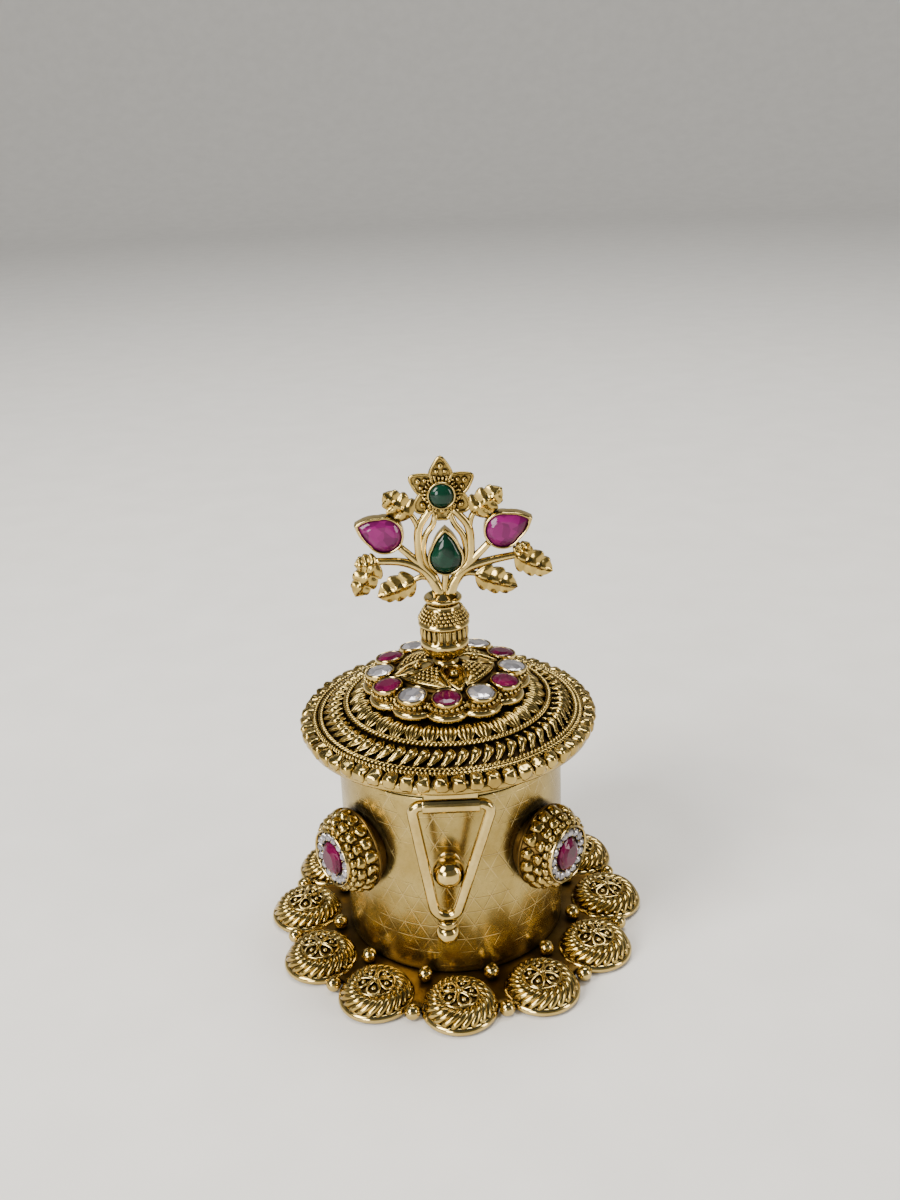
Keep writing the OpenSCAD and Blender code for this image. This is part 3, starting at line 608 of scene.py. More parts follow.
def build_medallion(side, label):
    place = medallion_place(side)
    collar = Shape()
    profile = [(0.01, 18.3), (5.8, 18.3), (5.9, 19.3), (6.6, 19.75), (6.8, 20.0), (6.7, 20.4), (6.4, 20.7),
               (6.3, 21.5), (6.0, 22.4), (5.5, 23.2), (5.1, 23.9), (4.9, 24.5), (4.6, 24.6), (0.01, 24.6)]
    collar.lathe(profile, 72, place)
    collar.lathe(arc(6.75, 20.2, 0.24, 0, 360, 8)[:-1], 80, place, closed=True)
    # the dome under the knobs is painted dark as shade
    make("medallion_dome_" + label, collar, "pot", SHADE_GOLD, ["medallion_collar_" + label], 50)
    knobs = Shape()
    knob_row(knobs, 17, 6.05, 21.3, 1.22, place, stretch=(0.85, 0.98, 1.0))
    knob_row(knobs, 16, 5.45, 23.05, 1.1, place, 0.5, (0.9, 0.98, 0.9))
    knob_row(knobs, 22, 5.1, 24.15, 0.6, place, 0.25, (1.0, 1.2, 0.9))
    make("medallion_knobs_" + label, knobs, "pot", GOLD, ["medallion_beads_" + label])
    seat = Shape()
    wall = [(0.01, 24.3), (4.86, 24.3), (4.88, 25.0), (4.84, 25.2), (4.72, 25.28), (4.58, 25.2), (4.5, 24.95),
            (4.48, 24.6), (0.01, 24.55)]
    seat.lathe(wall, 72, place)
    make("medallion_wall_" + label, seat, "pot", POLISHED, ["medallion_bezel_" + label], sharp=50)
    halo, prongs = Shape(), Shape()
    count = 15
    for a in round_angles(count):
        spot = place @ shift(*polar(3.68, a, 24.6)) @ spin(a)
        faceted_stone(halo, 0.74, 0.74, 0.25, 0.42, spot, 8, 0.45)
        prongs.ball(polar(4.28, a + pi / count, 24.95), 0.2, 6, 8, place=place)
        prongs.ball(polar(3.15, a + pi / count, 24.95), 0.15, 6, 8, place=place)
    make("medallion_pave_" + label, halo, "pot", CLEAR, ["medallion_halo_" + label], flat=True)
    make("medallion_prongs_" + label, prongs, "pot", POLISHED)
    stone = Shape()
    faceted_stone(stone, 2.88, 2.42, 0.5, 0.8, place @ shift(0, 0, 24.6), 14, 0.6)
    make("medallion_ruby_" + label, stone, "pot", RUBY, ["medallion_gem_" + label], flat=True)


# ---------- latch post ----------


def build_post():
    """Ball on a ringed stem that stands out of the wall, its axis along -Y."""
    shape = Shape()
    centre_z = (POST_LOW.z + POST_HIGH.z) / 2
    reach = -POST_LOW.y - POST_BALL_R
    place = spin(SOLDER_TURN) @ shift(0, 0, centre_z) @ spin_x(pi / 2)
    wall = BODY_R + 0.05
    stem = ((0.01, -0.3), (2.0, -0.25), (2.02, 0.2), (1.75, 0.4), (1.55, 0.42), (1.75, 0.62), (1.6, 0.85),
            (1.2, 0.95))
    profile = [(r, wall + out) for r, out in stem]
    ball = arc(0, reach, POST_BALL_R, -58, 89.5, 16)
    shape.lathe(profile + ball, 40, place)
    make("post_ball", shape, "pot", POLISHED, ["latch_post"])


# ---------- lid ----------

PAN_KNEE = (21.5, 40.3)
PAN_MID = (16.9, 42.3)
PAN_TOP = (12.6, 44.3)
SHEET_T = 0.6


def pan_height(r):
    """Height of the lid sheet's upper face at a radius."""
    points = [(23.2, 39.4), PAN_KNEE, PAN_MID, PAN_TOP]
    for (r1, z1), (r0, z0) in zip(points, points[1:]):
        if r >= r0:
            return z0 + (z1 - z0) * (r - r0) / (r1 - r0)
    return PAN_TOP[1]


def build_pan():
    skirt = SEAM_Z + 0.1
    inner = BODY_R - SHEET_T
    shape = Shape()
    profile = [(inner + 0.1, skirt), (BODY_R - 0.15, skirt), (BODY_R, skirt + 0.15), (BODY_R, FLANGE_Z - 0.5),
               (BODY_R + 0.15, FLANGE_Z - 0.12), (BODY_R + 0.5, FLANGE_Z), (23.0, FLANGE_Z),
               (23.2, FLANGE_Z + 0.2), (23.2, FLANGE_Z + 0.7), PAN_KNEE, PAN_MID, PAN_TOP, (0.01, PAN_TOP[1]),
               (0.01, PAN_TOP[1] - SHEET_T), (PAN_TOP[0] - 0.2, PAN_TOP[1] - SHEET_T),
               (PAN_MID[0] - 0.2, PAN_MID[1] - SHEET_T), (inner, PAN_MID[1] - SHEET_T - 1.0),
               (inner, skirt + 0.1)]
    shape.lathe(profile, 180, closed=True)
    obj = make("lid_sheet", shape, "lid", SATIN, ["lid_pan"], sharp=40)
    # the sheet's upper face under the filigree gets the near-black oxide-and-painted-shade material
    obj.data.materials.append(OXIDE_SHADE_BACKING)
    steps = 180
    oxide_shade_rows = range(8, 12)
    for i, face in enumerate(obj.data.polygons):
        if i // steps in oxide_shade_rows:
            face.material_index = 1


def build_rim(count=56):
    """Hammered squarish beads shoulder to shoulder, and the smooth groove inside them."""
    shape = Shape()
    ring_r = RIM_R - 1.28
    for a in front_angles(count, 0.5 * 360 / count):
        lean = spin(a) @ spin_y(radians(RNG.uniform(4, 16))) @ spin_x(radians(RNG.uniform(-7, 7)))
        half = (1.3, 1.27 * RNG.uniform(0.96, 1.02), 1.2)
        shape.cushion(polar(ring_r - 0.06, a, RIM_Z), half, lean.to_3x3(), 0.24)
    trough = [(21.9, 40.1), (22.0, 40.5), (22.4, 40.2), (22.8, 40.0), (23.4, 40.1), (24.1, 39.7),
              (24.35, 39.0), (24.2, 38.3), (23.6, 37.9), (22.9, 37.9), (22.5, 38.7)]
    shape.lathe(trough, 160, closed=True)
    make("rim_knobs", shape, "lid", GOLD, ["rim_beads"])


def rope(ring_r, z, strand_r, pitch, way=1):
    """Two wires twisted together and laid in a ring."""
    shape = Shape()
    turns = round(TAU * ring_r / pitch)
    per = 9
    wind_r = strand_r * 0.9
    for strand in (0, 1):
        path = []
        for a in round_angles(turns * per):
            twist = way * turns * a + pi * strand
            path.append(polar(ring_r + wind_r * cos(twist), a, z + wind_r * sin(twist)))
        shape.tube(path, strand_r, 6, closed=True, up=lambda p: Vector((p.x, p.y, 0)).normalized())
    return shape


def build_ropes():
    outer = rope(21.45, 41.0, 0.27, 1.5)
    outer.merge(rope(22.35, 40.85, 0.24, 1.35, -1))
    make("rope_outer", outer, "lid", GOLD, ["outer_twist_wire"])
    make("rope_inner", rope(17.0, 43.1, 0.27, 1.5), "lid", GOLD, ["inner_twist_wire"])


def build_commas(count=60):
    """Comma motifs: a plump ridged head by the inner rope that draws out into a hooked tail."""
    shape = Shape()
    for a0 in front_angles(count):
        body, radii, ridge, wire = [], [], [], []
        for k in range(13):
            t = k / 12
            r = 17.5 + 3.8 * t
            bend = radians(1.0) * sin(TAU * t * 0.75) - radians(3.4) * t ** 2.2
            swell = math.exp(-((t - 0.45) / 0.27) ** 2)
            lift = 0.42 + 0.35 * swell + 0.2 * sin(pi * t)
            body.append(polar(r, a0 + bend, pan_height(r) + lift))
            radii.append(0.12 + 0.62 * swell)
            ridge.append(polar(r, a0 + bend - radians(0.5), pan_height(r) + lift + 0.5 * swell + 0.08))
            aside = radians(0.5 + 2.0 * swell)
            wire.append(polar(r, a0 + bend + aside, pan_height(r) + lift * 0.9 + 0.12))
        shape.tube(body, radii, 9)
        shape.tube(ridge[1:11], 0.17, 6)
        shape.tube(wire[:11], 0.2, 6)
    make("comma_filigree", shape, "lid", GOLD, ["comma_ring"])


def build_leaf_ring(count=34):
    """Almond motifs of four ridges each."""
    shape = Shape()
    for a0 in front_angles(count):
        for bow in (-1, -0.33, 0.33, 1):
            path, radii = [], []
            for k in range(10):
                t = k / 9
                r = 13.2 + 3.4 * t
                a = a0 + bow * (0.15 + 1.0 * sin(pi * t) ** 0.8) / r
                path.append(polar(r, a, pan_height(r) + 0.45 + 0.4 * sin(pi * t) - 0.12 * abs(bow)))
                radii.append(0.15 + 0.19 * sin(pi * t))
            shape.tube(path, radii, 7)
    make("leaf_filigree", shape, "lid", GOLD, ["leaf_ring"])


STONE_RING_R = 10.95
STONE_Z = 47.6
STONE_TILT = radians(8)


def lobed_levels(shape, levels, base):
    """Stacks lobed outlines: ring of lobe centres, lobe radius and height over the base of each."""
    rows = []
    for ring_r, lobe_r, z in levels:
        rows.append([polar(lobed_radius(a, ring_r, lobe_r), a, base + z) for a in round_angles(360)])
    shape.grid(rows)


def build_plate():
    """Lobed plate: a thick rounded lip, then a grained slope up to the stones' seats."""
    low = box_mm("lobed_plate")[0]
    base = low.z + 0.55
    shape = Shape()
    lip = ((10.1, 3.2, 0.0), (10.1, 3.62, 0.02), (10.1, 3.84, 0.2), (10.1, 3.9, 0.55), (10.1, 3.84, 0.9),
           (10.15, 3.6, 1.2), (10.2, 3.35, 1.3), (10.2, 3.1, 1.3))
    slope = ((10.2, 3.3, 1.0), (10.2, 3.3, 1.28), (10.4, 2.8, 2.0), (10.6, 2.45, 2.5), (10.6, 2.3, 2.62))
    lobed_levels(shape, lip, base)
    shape.lathe([(0.01, low.z + 0.02), (10.4, low.z + 0.02), (10.6, low.z + 0.3), (10.6, base + 0.3),
                 (0.01, base + 0.3)], 90)
    make("plate_body", shape, "lid", POLISHED, ["lobed_plate"], sharp=60)
    crown = Shape()
    lobed_levels(crown, slope, base)
    # the slope between the grains is painted dark as shade
    make("plate_crown", crown, "lid", SHADE_GOLD, sharp=60)
    grains = Shape()
    for lobe_angle in front_angles(ROSETTE_COUNT):
        lobe = spin(lobe_angle) @ shift(10.35, 0, 0)
        for k in range(11):
            a = radians(-80 + 16 * k)
            lean = spin(a) @ spin_y(radians(40)) @ spin_x(0.35)
            stretch = (0.7, 0.72, 1.45)
            grains.ball(polar(2.98, a, base + 1.85), 0.52, 8, 10, stretch, lean.to_3x3(), 0.1, lobe)
    make("plate_grains", grains, "lid", GOLD)


def build_stones():
    seats, rubies, clears = Shape(), Shape(), Shape()
    wall = [(0.01, -0.35), (2.48, -0.35), (2.5, 0.5), (2.44, 0.72), (2.33, 0.8), (2.22, 0.72), (2.17, 0.45),
            (2.0, 0.3), (0.01, 0.3)]
    for i, a in enumerate(front_angles(ROSETTE_COUNT)):
        place = spin(a) @ shift(STONE_RING_R, 0, STONE_Z) @ spin_y(STONE_TILT)
        seats.lathe(wall, 40, place)
        target = clears if i % 2 else rubies
        faceted_stone(target, 2.16, 2.16, 0.36, 0.45, place @ shift(0, 0, 0.25), 12, 0.55)
    make("plate_walls", seats, "lid", POLISHED, ["plate_seats"], sharp=50)
    make("plate_ruby_stones", rubies, "lid", RUBY, ["plate_rubies"], flat=True)
    make("plate_white_stones", clears, "lid", CLEAR, ["plate_clear_stones"], flat=True)


def drop_loop(u0, u1, half, steps=26):
    """Teardrop outline in (outward, sideways), its point outward."""
    out = []
    for a in round_angles(steps):
        u = u0 + (u1 - u0) * (1 - cos(a)) / 2
        taper = ((u1 - u) / (u1 - u0)) ** 0.45
        out.append((u, half * sin(a) * taper * 1.25))
    return out


def build_knob_flower():
    """Four drop cups with a ball in each and, between them, four wired cells full of grains."""
    base_z = 47.65

    def top(r):
        return base_z + 1.75 - 0.021 * r * r

    def hollow(s, x, y):
        return top(x) + 0.3 - 0.25 * sin(pi * s / 2)

    def swollen(s, x, y):
        return top(math.hypot(x, y)) + 0.15 + 0.5 * sin(pi * s / 2)

    dome, cups = Shape(), Shape()
    crown = [8.6 - 0.86 * k for k in range(10)]
    dome.lathe([(0.01, base_z), (8.55, base_z)] + [(r, top(r) - 0.1) for r in crown], 90)
    # the dome under the cups and cells is painted dark as shade
    make("flower_dome", dome, "lid", SHADE_GOLD, ["knob_flower"])
    wires = Shape()
    for k in range(4):
        drop = spin(-pi / 2 + radians(15 + 90 * k))
        loop = drop_loop(2.2, 8.8, 1.9)
        wires.tube([(u, v, top(u) + 0.34) for u, v in loop], 0.29, 8, closed=True, place=drop)
        cups.sheet(loop, hollow, base_z, drop, 8, (5.0, 0))
        wires.ball((4.9, 0, top(4.9) + 0.5), 0.76, 12, 18, place=drop)
        cell = spin(-pi / 2 + radians(60 + 90 * k))
        reach = radians(34)
        far = []
        for t in range(13):
            far.append(polar(8.0 - 0.5 * sin(pi * t / 12), -reach + 2 * reach * t / 12, 0))
        near = []
        for t in range(1, 12):
            s = t / 12
            near.append(far[-1] * (1 - s) ** 2 + Vector((1.0, 0, 0)) * 2 * s * (1 - s) + far[0] * s * s)
        outline = [(p.x, p.y) for p in far + near]
        ridge = [(x, y, top(math.hypot(x, y)) + 0.36) for x, y in outline]
        wires.tube(ridge, 0.28, 8, closed=True, place=cell)
        wires.sheet(outline, swollen, base_z, cell, 8, (5.4, 0))
        for row in range(6):
            r = 3.7 + 0.74 * row
            n = 2 + row
            for g in range(n):
                a = (g - (n - 1) / 2) * 0.82 / r
                swell = 0.5 * cos(min(1.5, abs(r - 5.4) * 0.5)) * cos(min(1.5, abs(r * a) * 0.5))
                wires.ball(polar(r, a, top(r) + 0.2 + swell), 0.34, 6, 9, bumps=0.08, place=cell)
    make("flower_wires", wires, "lid", GOLD, ["knob_sepals"])
    make("flower_cups", cups, "lid", POLISHED)


VASE_FLUTES = 22


def build_vase():
    """Kalash vase: polished bulb, fluted belly, grained shoulder and a flared mouth."""
    low, high = box_mm("kalash_vase")
    z0 = low.z
    top = high.z
    shape = Shape()
    # heights over the foot, then heights from the top
    wall = ((0.01, 0), (2.3, 0), (2.35, 0.35), (2.05, 0.75), (2.3, 1.1), (3.1, 1.75), (3.7, 2.5), (3.98, 3.3),
            (4.02, 3.9), (3.9, 4.35), (3.6, 4.6), (3.5, 4.8), (3.5, 6.6), (3.9, 6.75), (4.18, 6.95),
            (4.25, 7.2), (4.2, 7.5), (4.0, 7.7), (3.85, 8.2), (3.3, 9.2), (2.8, 9.9), (2.55, 10.3),
            (2.6, 10.65))
    mouth = ((2.95, -0.85), (3.15, -0.55), (3.12, -0.22), (2.85, -0.02), (2.5, -0.1), (2.15, -0.45),
             (1.9, -0.6), (1.3, -0.1), (0.8, 0.5), (0.01, 0.9))
    shape.lathe([(r, z0 + z) for r, z in wall] + [(r, top + z) for r, z in mouth], 72)
    make("vase_body", shape, "lid", POLISHED, ["kalash_vase"], sharp=60)
    trims = Shape()
    for a in round_angles(VASE_FLUTES):
        path = [polar(3.58 + 0.1 * sin(pi * t / 6), a, z0 + 4.5 + 2.3 * t / 6) for t in range(7)]
        radii = [0.30 + 0.08 * sin(pi * t / 6) for t in range(7)]
        trims.tube(path, radii, 7)
    for ring_r, z, count in ((3.95, 8.1, 34), (3.68, 8.62, 32), (3.36, 9.14, 30), (3.02, 9.66, 27)):
        for a in round_angles(count, 0.5 * (count % 2)):
            trims.ball(polar(ring_r, a, z0 + z), 0.34, 6, 9, bumps=0.1)
    make("vase_trims", trims, "lid", GOLD, ["vase_flutes"])


# ---------- bouquet ----------


def in_fan(points, y=FAN_Y):
    """Turns (x, z) points of the fan's plane into points in space."""
    return [Vector((p[0], y + (p[2] if len(p) > 2 else 0.0), p[1])) for p in points]


STEM_ROUTES = (
    # (x, z) route of each bough, with its start and end thickness
    ([(-0.5, 60.4), (-0.7, 62.4), (-1.9, 64.6), (-3.6, 66.2), (-6.4, 67.3), (-10.6, 67.6)], 1.12, 0.6),
    ([(1.1, 60.4), (1.4, 62.4), (2.6, 64.5), (4.4, 65.9), (8.0, 67.0), (12.3, 67.8)], 1.12, 0.6),
    ([(-0.4, 61.0), (-1.4, 64.6), (-3.1, 66.8), (-3.5, 69.6), (-3.3, 73.0), (-1.4, 76.0)], 0.9, 0.64),
    ([(1.1, 61.0), (2.4, 64.6), (4.3, 66.8), (4.8, 69.6), (4.5, 73.0), (2.2, 76.0)], 0.9, 0.64),
    ([(-2.4, 65.6), (-3.6, 67.0), (-5.0, 68.4), (-6.5, 69.85)], 0.7, 0.6),
    ([(3.6, 65.6), (4.8, 67.0), (6.2, 68.4), (7.7, 69.95)], 0.7, 0.6),
    ([(-1.6, 65.2), (-2.5, 67.4), (-2.8, 69.4), (-2.3, 71.6), (-1.1, 73.4), (-0.6, 75.2)], 0.6, 0.5),
    ([(2.9, 65.2), (3.9, 67.4), (4.1, 69.4), (3.6, 71.6), (2.4, 73.4), (1.7, 75.2)], 0.6, 0.5),
    ([(-3.5, 70.8), (-3.4, 72.6), (-3.9, 74.2), (-4.8, 75.6)], 0.62, 0.45),
    ([(4.8, 70.8), (4.7, 72.6), (5.0, 74.2), (5.8, 75.8)], 0.62, 0.45),
    ([(-1.2, 63.4), (-2.2, 64.4), (-3.4, 64.6), (-4.8, 64.0)], 0.62, 0.45),
    ([(2.0, 63.4), (3.0, 64.6), (4.4, 65.0), (6.0, 64.7)], 0.62, 0.45),
    ([(0.35, 60.6), (0.4, 62.4), (0.7, 65.2)], 0.7, 0.6),
)


def build_stems():
    shape = Shape()
    for route, start, end in STEM_ROUTES:
        path = smooth_path(in_fan(route), 7)
        n = len(path) - 1
        shape.tube(path, [start + (end - start) * i / n for i in range(n + 1)], 10, up=(0, 1, 0), flat=0.85)
    make("bouquet_stems", shape, "lid", POLISHED, ["fan_stems"])


# one side of a leaf from stalk to tip, as shares of its length and width: teeth and notches
LEAF_SIDE = ((0.0, 0.02), (0.05, 0.22), (0.15, 0.42), (0.25, 0.50), (0.32, 0.47), (0.34, 0.41), (0.43, 0.46),
             (0.55, 0.49), (0.62, 0.44), (0.64, 0.36), (0.71, 0.38), (0.81, 0.36), (0.85, 0.27), (0.92, 0.18),
             (1.0, 0.0))
# how far each of those points is from a vein: 0 on it, 1 in the hollow between two
LEAF_HOLLOW = (0.8, 0.5, 0.0, 0.1, 0.5, 1.0, 0.4, 0.0, 0.5, 1.0, 0.4, 0.0, 0.6, 0.9, 0.2)


def leaf(shape, x, z, turn, length, width, curl):
    """Cast leaf with forward teeth, a raised midrib, a vein to each tooth and hollows between."""
    place = upright(x, z, turn - 90) @ spin(pi / 2)
    edge = smooth_path([(u, v, h) for (u, v), h in zip(LEAF_SIDE, LEAF_HOLLOW)], 3)
    across = 7
    front, back = [], []
    for i, point in enumerate(edge):
        share = i / (len(edge) - 1)
        root_u = share * (0.86 + 0.14 * share)
        row_f, row_b = [], []
        for k in range(-across, across + 1):
            t = abs(k) / across
            u = length * (root_u + (point.x - root_u) * t)
            v = math.copysign(1, k) * max(0.015, point.y) * width * t
            taper = sin(pi * min(1, 0.12 + share * 0.85)) ** 0.5
            vein = 0.34 * (0.5 - point.z) * sin(pi * t) ** 0.8
            rib = 0.42 * math.exp(-((t / 0.16) ** 2))
            lift = curl * share * share * length * 0.12
            row_f.append((u, v, (0.35 * (1 - t * t) + vein + rib + 0.12 * t ** 4) * taper + 0.25 + lift))
            row_b.append((u, v, -0.3 + lift))
        front.append(row_f)
        back.append(row_b)
    rows = [f + b[::-1] for f, b in zip(front, back)]
    shape.grid([row[::-1] for row in rows], place=place)


def upright(x, z, turn=0.0, y=FAN_Y):
    """Places a shape drawn in XY upright in the fan's plane, its top facing the front."""
    lean = spin_y(-radians(turn))
    return shift(x, y, z) @ lean @ spin_x(pi / 2)


LEAVES = (
    # x, z of the stalk end, direction in degrees from +X, length, width, curl
    (-4.3, 75.0, 138, 5.9, 4.6, 0.4),
    (5.1, 75.2, 38, 6.3, 4.6, 0.4),
    (-10.2, 67.4, 182, 3.8, 3.2, 0.3),
    (-10.5, 67.6, 238, 7.0, 4.4, -0.3),
    (12.0, 67.6, 42, 3.1, 2.8, 0.3),
    (11.9, 67.8, -27, 6.8, 4.6, -0.3),
    (-4.2, 64.1, 201, 6.8, 4.6, 0.4),
    (5.4, 64.8, -19, 7.2, 4.6, 0.4),
)


def build_leaves():
    shape = Shape()
    for row in LEAVES:
        leaf(shape, *row)
    make("bouquet_leaves", shape, "lid", GOLD, ["fan_leaves"], sharp=70)


TOP_FLOWER = (0.5, 78.5)
# reach of each petal, the first straight up, then anticlockwise as seen from the front
PETAL_REACH = (6.22, 5.9, 5.2, 4.4, 5.2, 6.0)


def build_top_flower():
    """Star flower: pointed petals with a raised rim and grains, filaments, and a seat for the stone."""
    shape = Shape()
    for i, reach in enumerate(PETAL_REACH):
        place = upright(*TOP_FLOWER, turn=60 * i)
        far = reach - 0.27
        side = [(0.7, 1.4), (1.6, 2.7), (1.65, 0.5 * far + 0.6), (0.9, 0.5 * far + 2.0), (0.0, far)]
        outline = side + [(-x, y) for x, y in side[-2::-1]]
        curve = [(p.x, p.y) for p in smooth_path([(x, y, 0) for x, y in outline], 3)]
        shape.sheet(curve, lambda s, x, y: 0.1 - 0.15 * s, -0.5, place, centre=(0, 3.0))
        shape.tube([(x, y, 0.2) for x, y in curve], 0.27, 7, place=place)
        shape.ball((0, far - 1.45, 0.35), 0.52, 8, 12, place=place)
        for s in (-1, 1):
            shape.ball((0.66 * s, far - 2.3, 0.32), 0.4, 8, 10, place=place)
            shape.ball((1.0 * s, 2.75, 0.28), 0.28, 6, 9, place=place)
    place = upright(*TOP_FLOWER)
    for a in round_angles(26):
        filament = [polar(1.7, a, 0.35), polar(2.55, a, 0.45), polar(2.95, a, 0.3)]
        shape.tube(filament, [0.22, 0.21, 0.15], 6, place=place)
    shape.lathe([(0.01, -0.5), (2.7, -0.5), (2.7, 0.1), (2.0, 0.3), (0.01, 0.3)], 40, place)
    make("top_blossom", shape, "lid", GOLD, ["top_flower"])


def pear_outline(r, tip, steps=32, flank_steps=5):
    """Drop outline: a round end about the origin and slightly bowed flanks to a point at +Y."""
    lean = math.asin(r / tip)
    round_end = arc(0, 0, r, math.degrees(pi - lean), math.degrees(lean) + 360, steps)
    point = (0.0, tip)

    def flank(start, end, side):
        bows = [0.10 * r * sin(pi * k / flank_steps) for k in range(1, flank_steps)]
        line = between(start, end, flank_steps)
        return [(x + side * bow, y + 0.5 * bow) for (x, y), bow in zip(line, bows)]

    return round_end + flank(round_end[-1], point, 1) + [point] + flank(point, round_end[0], -1)


def stack(shape, outline_at, place, tiers):
    """Stacks an outline: each tier says how far the outline grows and its height."""
    shape.grid([[(x, y, z) for x, y in outline_at(grow)] for grow, z in tiers], place=place)


def ring_wall(shape, outline_at, place, front, back):
    """Thin wall with a rounded lip that follows an outline, closed behind by a plate."""
    tiers = ((0.0, -back), (0.0, front - 0.2), (-0.06, front - 0.04), (-0.2, front), (-0.34, front - 0.06),
             (-0.4, front - 0.25), (-SEAT_T, 0.0), (-1.5, -0.15))
    stack(shape, outline_at, place, tiers)


SEAT_T = 0.42
# x, z of the round end's centre, turn from upright, radius, distance to the point
GREEN_DROPS = ((0.8, 68.0, 0, 2.9, 5.1),)
RUBY_DROPS = ((-8.8, 72.2, 68, 3.1, 5.1), (10.0, 72.3, -68, 3.1, 5.1))


def build_drops():
    walls, rubies, green = Shape(), Shape(), Shape()

    def outline_for(r, tip):
        return lambda grow: pear_outline(r + grow, (tip + grow * tip / r))

    table = ((-SEAT_T, 0.0), (-SEAT_T, 1.0), (-0.75, 1.35), (-1.1, 1.6), (-1.45, 1.74))
    round_top = [(-SEAT_T, 0.0), (-SEAT_T, 0.95)]
    for a in range(10, 90, 10):
        lift = radians(a)
        round_top.append((-SEAT_T - 2.2 * (1 - cos(lift)), 0.95 + sin(lift)))
    for stones, tiers, drops in ((rubies, table, RUBY_DROPS), (green, round_top, GREEN_DROPS)):
        for x, z, turn, r, tip in drops:
            place = upright(x, z, turn)
            ring_wall(walls, outline_for(r, tip), place, 1.4, 0.8)
            stack(stones, outline_for(r, tip), place, tiers)
    place = upright(*TOP_FLOWER)
    walls.lathe([(0.01, 0.2), (2.25, 0.2), (2.28, 1.3), (2.2, 1.5), (2.08, 1.55), (1.95, 1.48), (1.9, 1.2),
                 (1.9, 0.8), (0.01, 0.8)], 40, place)
    make("drop_walls", walls, "lid", POLISHED, ["fan_seats"], sharp=60)
    # the upright drops get the ruby copy with the brighter painted highlight
    make("ruby_drop_stones", rubies, "lid", RUBY_PAINTED_LIT, ["ruby_pears"], sharp=12)
    make("green_drop_stone", green, "lid", GREEN, ["green_pear"])
    dome = Shape()
    curve = [(1.88 * x, 1.25 + 0.95 * y) for x, y in arc(0, 0, 1, 10, 80, 7)]
    dome.lathe([(0.01, 0.85), (1.88, 0.85), (1.88, 1.25)] + curve + [(0.01, 2.2)], 40, place)
    make("green_round_stone", dome, "lid", GREEN, ["green_cabochon"])


# ---------- latch ----------

WIRE_R = 0.9
SHOULDER_R = 1.4
SHOULDER_X = 4.55
TOE_R = 2.05
TOE_Z = 17.75
TOE_X = (box_mm("latch_tip")[0].x + box_mm("latch_tip")[1].x) / 2


def side_lean(dx, h):
    """Lean in degrees of a straight side that touches the shoulder and the toe."""
    return math.degrees(math.atan2(dx, h) - math.asin((TOE_R - SHOULDER_R) / math.hypot(dx, h)))


def build_latch():
    """Hand-bent wire loop, its toe a little to the left, and the ringed ball at its tip."""
    shoulder_z = LATCH.z - SHOULDER_R
    drop = shoulder_z - TOE_Z
    lean_right = side_lean(SHOULDER_X - TOE_X, drop)
    lean_left = side_lean(SHOULDER_X + TOE_X, drop)
    right = arc(SHOULDER_X, shoulder_z, SHOULDER_R, 90, -lean_right, 10)
    toe = arc(TOE_X, TOE_Z, TOE_R, -lean_right, lean_left - 180, 16)
    left = arc(-SHOULDER_X, shoulder_z, SHOULDER_R, 180 + lean_left, 90, 10)
    outline = right + between(right[-1], toe[0], 12) + toe + between(toe[-1], left[0], 12) + left
    outline += between(left[-1], right[0], 8)
    shape = Shape()
    shape.tube([(x, LATCH.y, z) for x, z in outline], WIRE_R * 0.985, 20, closed=True, up=(0, 1, 0))
    make("latch_wire", shape, "latch", POLISHED, ["latch_loop"])
    low, high = box_mm("latch_tip")
    ball_r = (high.x - low.x) / 2
    tip = Shape()
    ring = ((0.01, -0.02), (1.15, 0.02), (1.5, 0.22), (1.56, 0.5), (1.3, 0.7), (1.5, 0.9), (1.5, 1.15),
            (1.2, 1.35))
    profile = [(r, high.z - down) for r, down in ring]
    profile += arc(0, low.z + ball_r, ball_r, 48, -89.5, 16)
    tip.lathe(profile[::-1], 40, shift(TOE_X, LATCH.y, 0))
    make("latch_knob", tip, "latch", POLISHED, ["latch_tip"])


def build_barrel():
    """Rolled sheet tube that carries the latch wire, its tail soldered up under the lid's edge."""
    low, high = box_mm("latch_barrel")
    outer = (high.y - low.y) / 2
    bore = WIRE_R + 0.05
    start, end = 118, 118 - 350
    ring_out = arc(LATCH.y, LATCH.z, outer - 0.02, start, end, 30)
    ring_in = arc(LATCH.y, LATCH.z, bore, end, start, 30)
    section = ring_out + ring_in
    shape = Shape()
    ends = ((low.x, 0.9), (low.x + 0.12, 1.0), (high.x - 0.12, 1.0), (high.x, 0.9))
    rows = []
    for x, scale in ends:
        row = []
        for y, z in section:
            d = Vector((y - LATCH.y, z - LATCH.z))
            reach = d.length
            keep = reach if reach < bore + 0.1 else bore + (reach - bore) * scale
            d = d.normalized() * keep
            row.append((x, LATCH.y + d.x, LATCH.z + d.y))
        rows.append(row)
    shape.grid(rows)
    x0, x1 = low.x + 0.25, high.x - 0.25
    y0, y1 = LATCH.y - 0.45, LATCH.y + outer - 0.1
    tail = [(x0, y0), (x1, y0), (x1, y1), (x0, y1)]
    z0, z1 = LATCH.z + bore + 0.12, high.z
    shape.grid([[(x, y, z0) for x, y in tail], [(x, y, z1) for x, y in tail]])
    make("latch_tube", shape, "lid", POLISHED, ["latch_barrel"], sharp=35)


# ---------- CAD nodes that keep their own mesh ----------


def finish_cad_nodes():
    finishes = {"lid_register_ring": AGED, "hinge_body_leaf": GOLD, "hinge_lid_leaf": GOLD,
                "hinge_pin": AGED}
    for name, material in finishes.items():
        mesh = frame["nodes"][name].data
        mesh.materials.clear()
        mesh.materials.append(material)


# ---------- room ----------


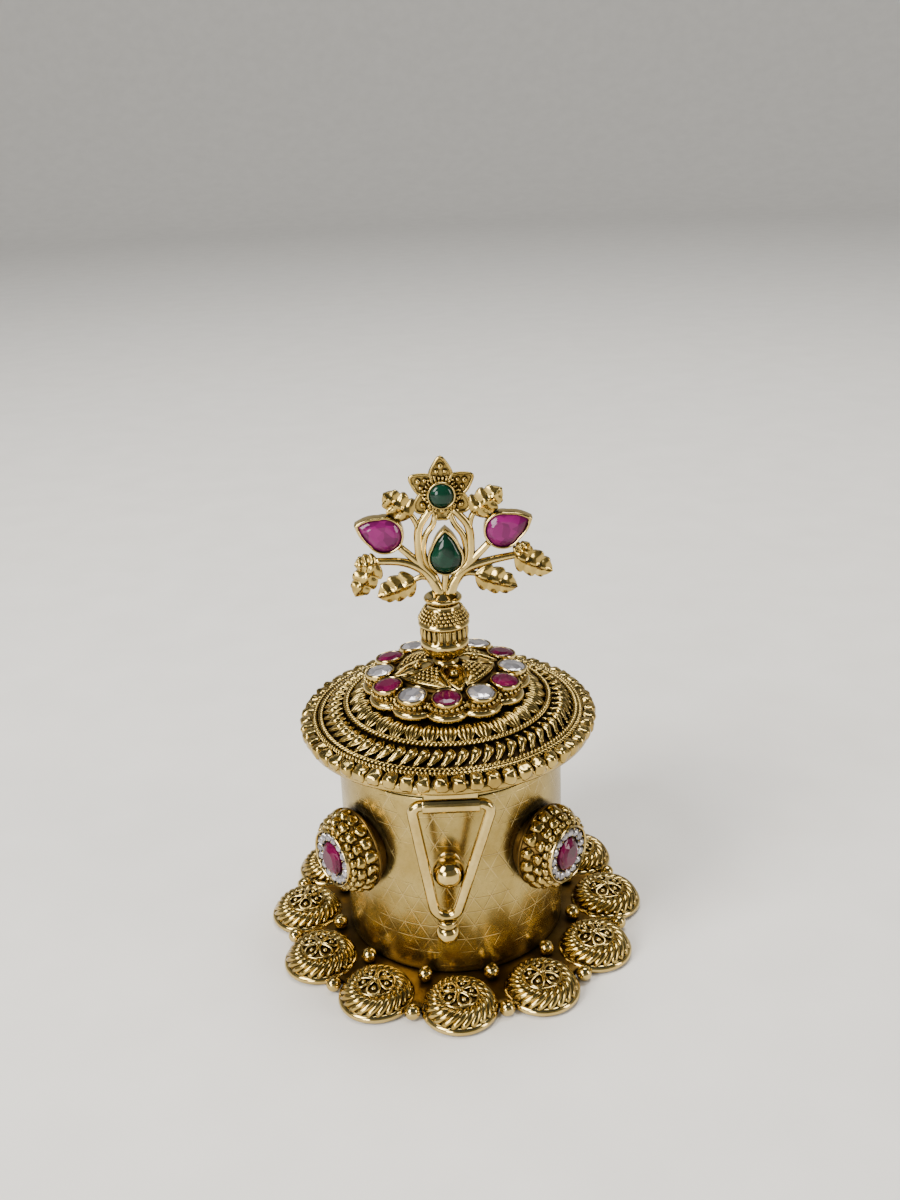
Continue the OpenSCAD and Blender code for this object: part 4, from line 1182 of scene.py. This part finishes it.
def build_camera():
    """Views the pot from the front and above, with the slight tilt of a hand-held camera."""
    data = bpy.data.cameras.new("camera")
    data.lens = 36.0
    data.sensor_width = 36.0
    data.clip_start = 0.005
    camera = new_object("camera", data)
    camera.location = Vector((1.16, -181.55, 133.14)) * MM
    pitch, roll = radians(21.84), radians(-2.41)
    turn = spin_x(pi / 2 - pitch) @ spin(roll)
    camera.rotation_euler = turn.to_euler()
    bpy.context.scene.camera = camera


def build_floor():
    """Pale round floor that curves up into a pale wall well away from the pot."""
    flat, bend, top, steps = 1.5, 0.6, 1.5, 72
    line = [(0.02, 0.0), (0.3, 0.0), (0.9, 0.0)]
    line += arc(flat, bend, bend, -90, 0, 14)
    line.append((flat + bend, top))
    verts, faces = [], [tuple(range(steps))]
    for r, z in line:
        verts += [polar(r, a, z) for a in round_angles(steps)]
    for i in range(len(line) - 1):
        for k in range(steps):
            j = (k + 1) % steps
            faces.append((i * steps + k, (i + 1) * steps + k, (i + 1) * steps + j, i * steps + j))
    mesh = bpy.data.meshes.new("floor")
    mesh.from_pydata(verts, [], faces)
    mesh.shade_smooth()
    mat, tree, bsdf = new_material("pale_floor")
    coords = add_node(tree, "ShaderNodeTexCoord").outputs["Object"]
    mottle = add_node(tree, "ShaderNodeTexNoise", Vector=coords, Scale=60.0, Detail=3.0)
    tone = ramp_node(tree, mottle.outputs["Fac"], [(0.3, (0.72, 0.69, 0.64)), (0.7, (0.76, 0.73, 0.68))])
    feed(tree, bsdf.inputs["Base Color"], tone)
    feed(tree, bsdf.inputs["Roughness"], 0.6)
    mesh.materials.append(mat)
    floor = new_object("floor", mesh)
    floor.location.z = -0.02 * MM


def area_light(name, spot, target, size, power, colour):
    data = bpy.data.lights.new(name, "AREA")
    data.shape = "RECTANGLE"
    data.size, data.size_y = size
    data.energy = power
    data.color = colour
    light = new_object(name, data)
    light.location = spot
    light.rotation_euler = (Vector(target) - Vector(spot)).to_track_quat("-Z", "Y").to_euler()


def build_light():
    world = bpy.data.worlds.new("studio")
    bpy.context.scene.world = world
    world.use_nodes = True
    back = world.node_tree.nodes["Background"]
    back.inputs["Color"].default_value = (0.60, 0.66, 0.74, 1)
    back.inputs["Strength"].default_value = 0.17
    middle = (0, 0, 0.04)
    area_light("window_left", (-0.5, -0.35, 0.5), middle, (0.3, 0.45), 9.0, (1.0, 0.98, 0.95))
    area_light("window_front", (-0.3, -0.55, 0.16), middle, (0.18, 0.22), 2.2, (1.0, 0.99, 0.97))
    area_light("soft_top", (0.1, 0.2, 0.8), middle, (0.5, 0.35), 6.0, (1.0, 0.99, 0.97))
    area_light("fill_right", (0.6, -0.25, 0.25), middle, (0.15, 0.4), 2.2, (1.0, 0.93, 0.84))
    area_light("backdrop_wash", (0.0, 0.3, 1.3), (0, 1.2, 0.6), (1.5, 0.5), 12.0, (0.94, 0.97, 1.0))


# ---------- the whole pot ----------

build_camera()
build_floor()
build_light()
build_foot()
build_cup()
for side, label in ((-1, "left"), (1, "right")):
    build_medallion(side, label)
build_post()
build_pan()
build_rim()
build_ropes()
build_commas()
build_leaf_ring()
build_plate()
build_stones()
build_knob_flower()
build_vase()
build_stems()
build_leaves()
build_top_flower()
build_drops()
build_latch()
build_barrel()
finish_cad_nodes()
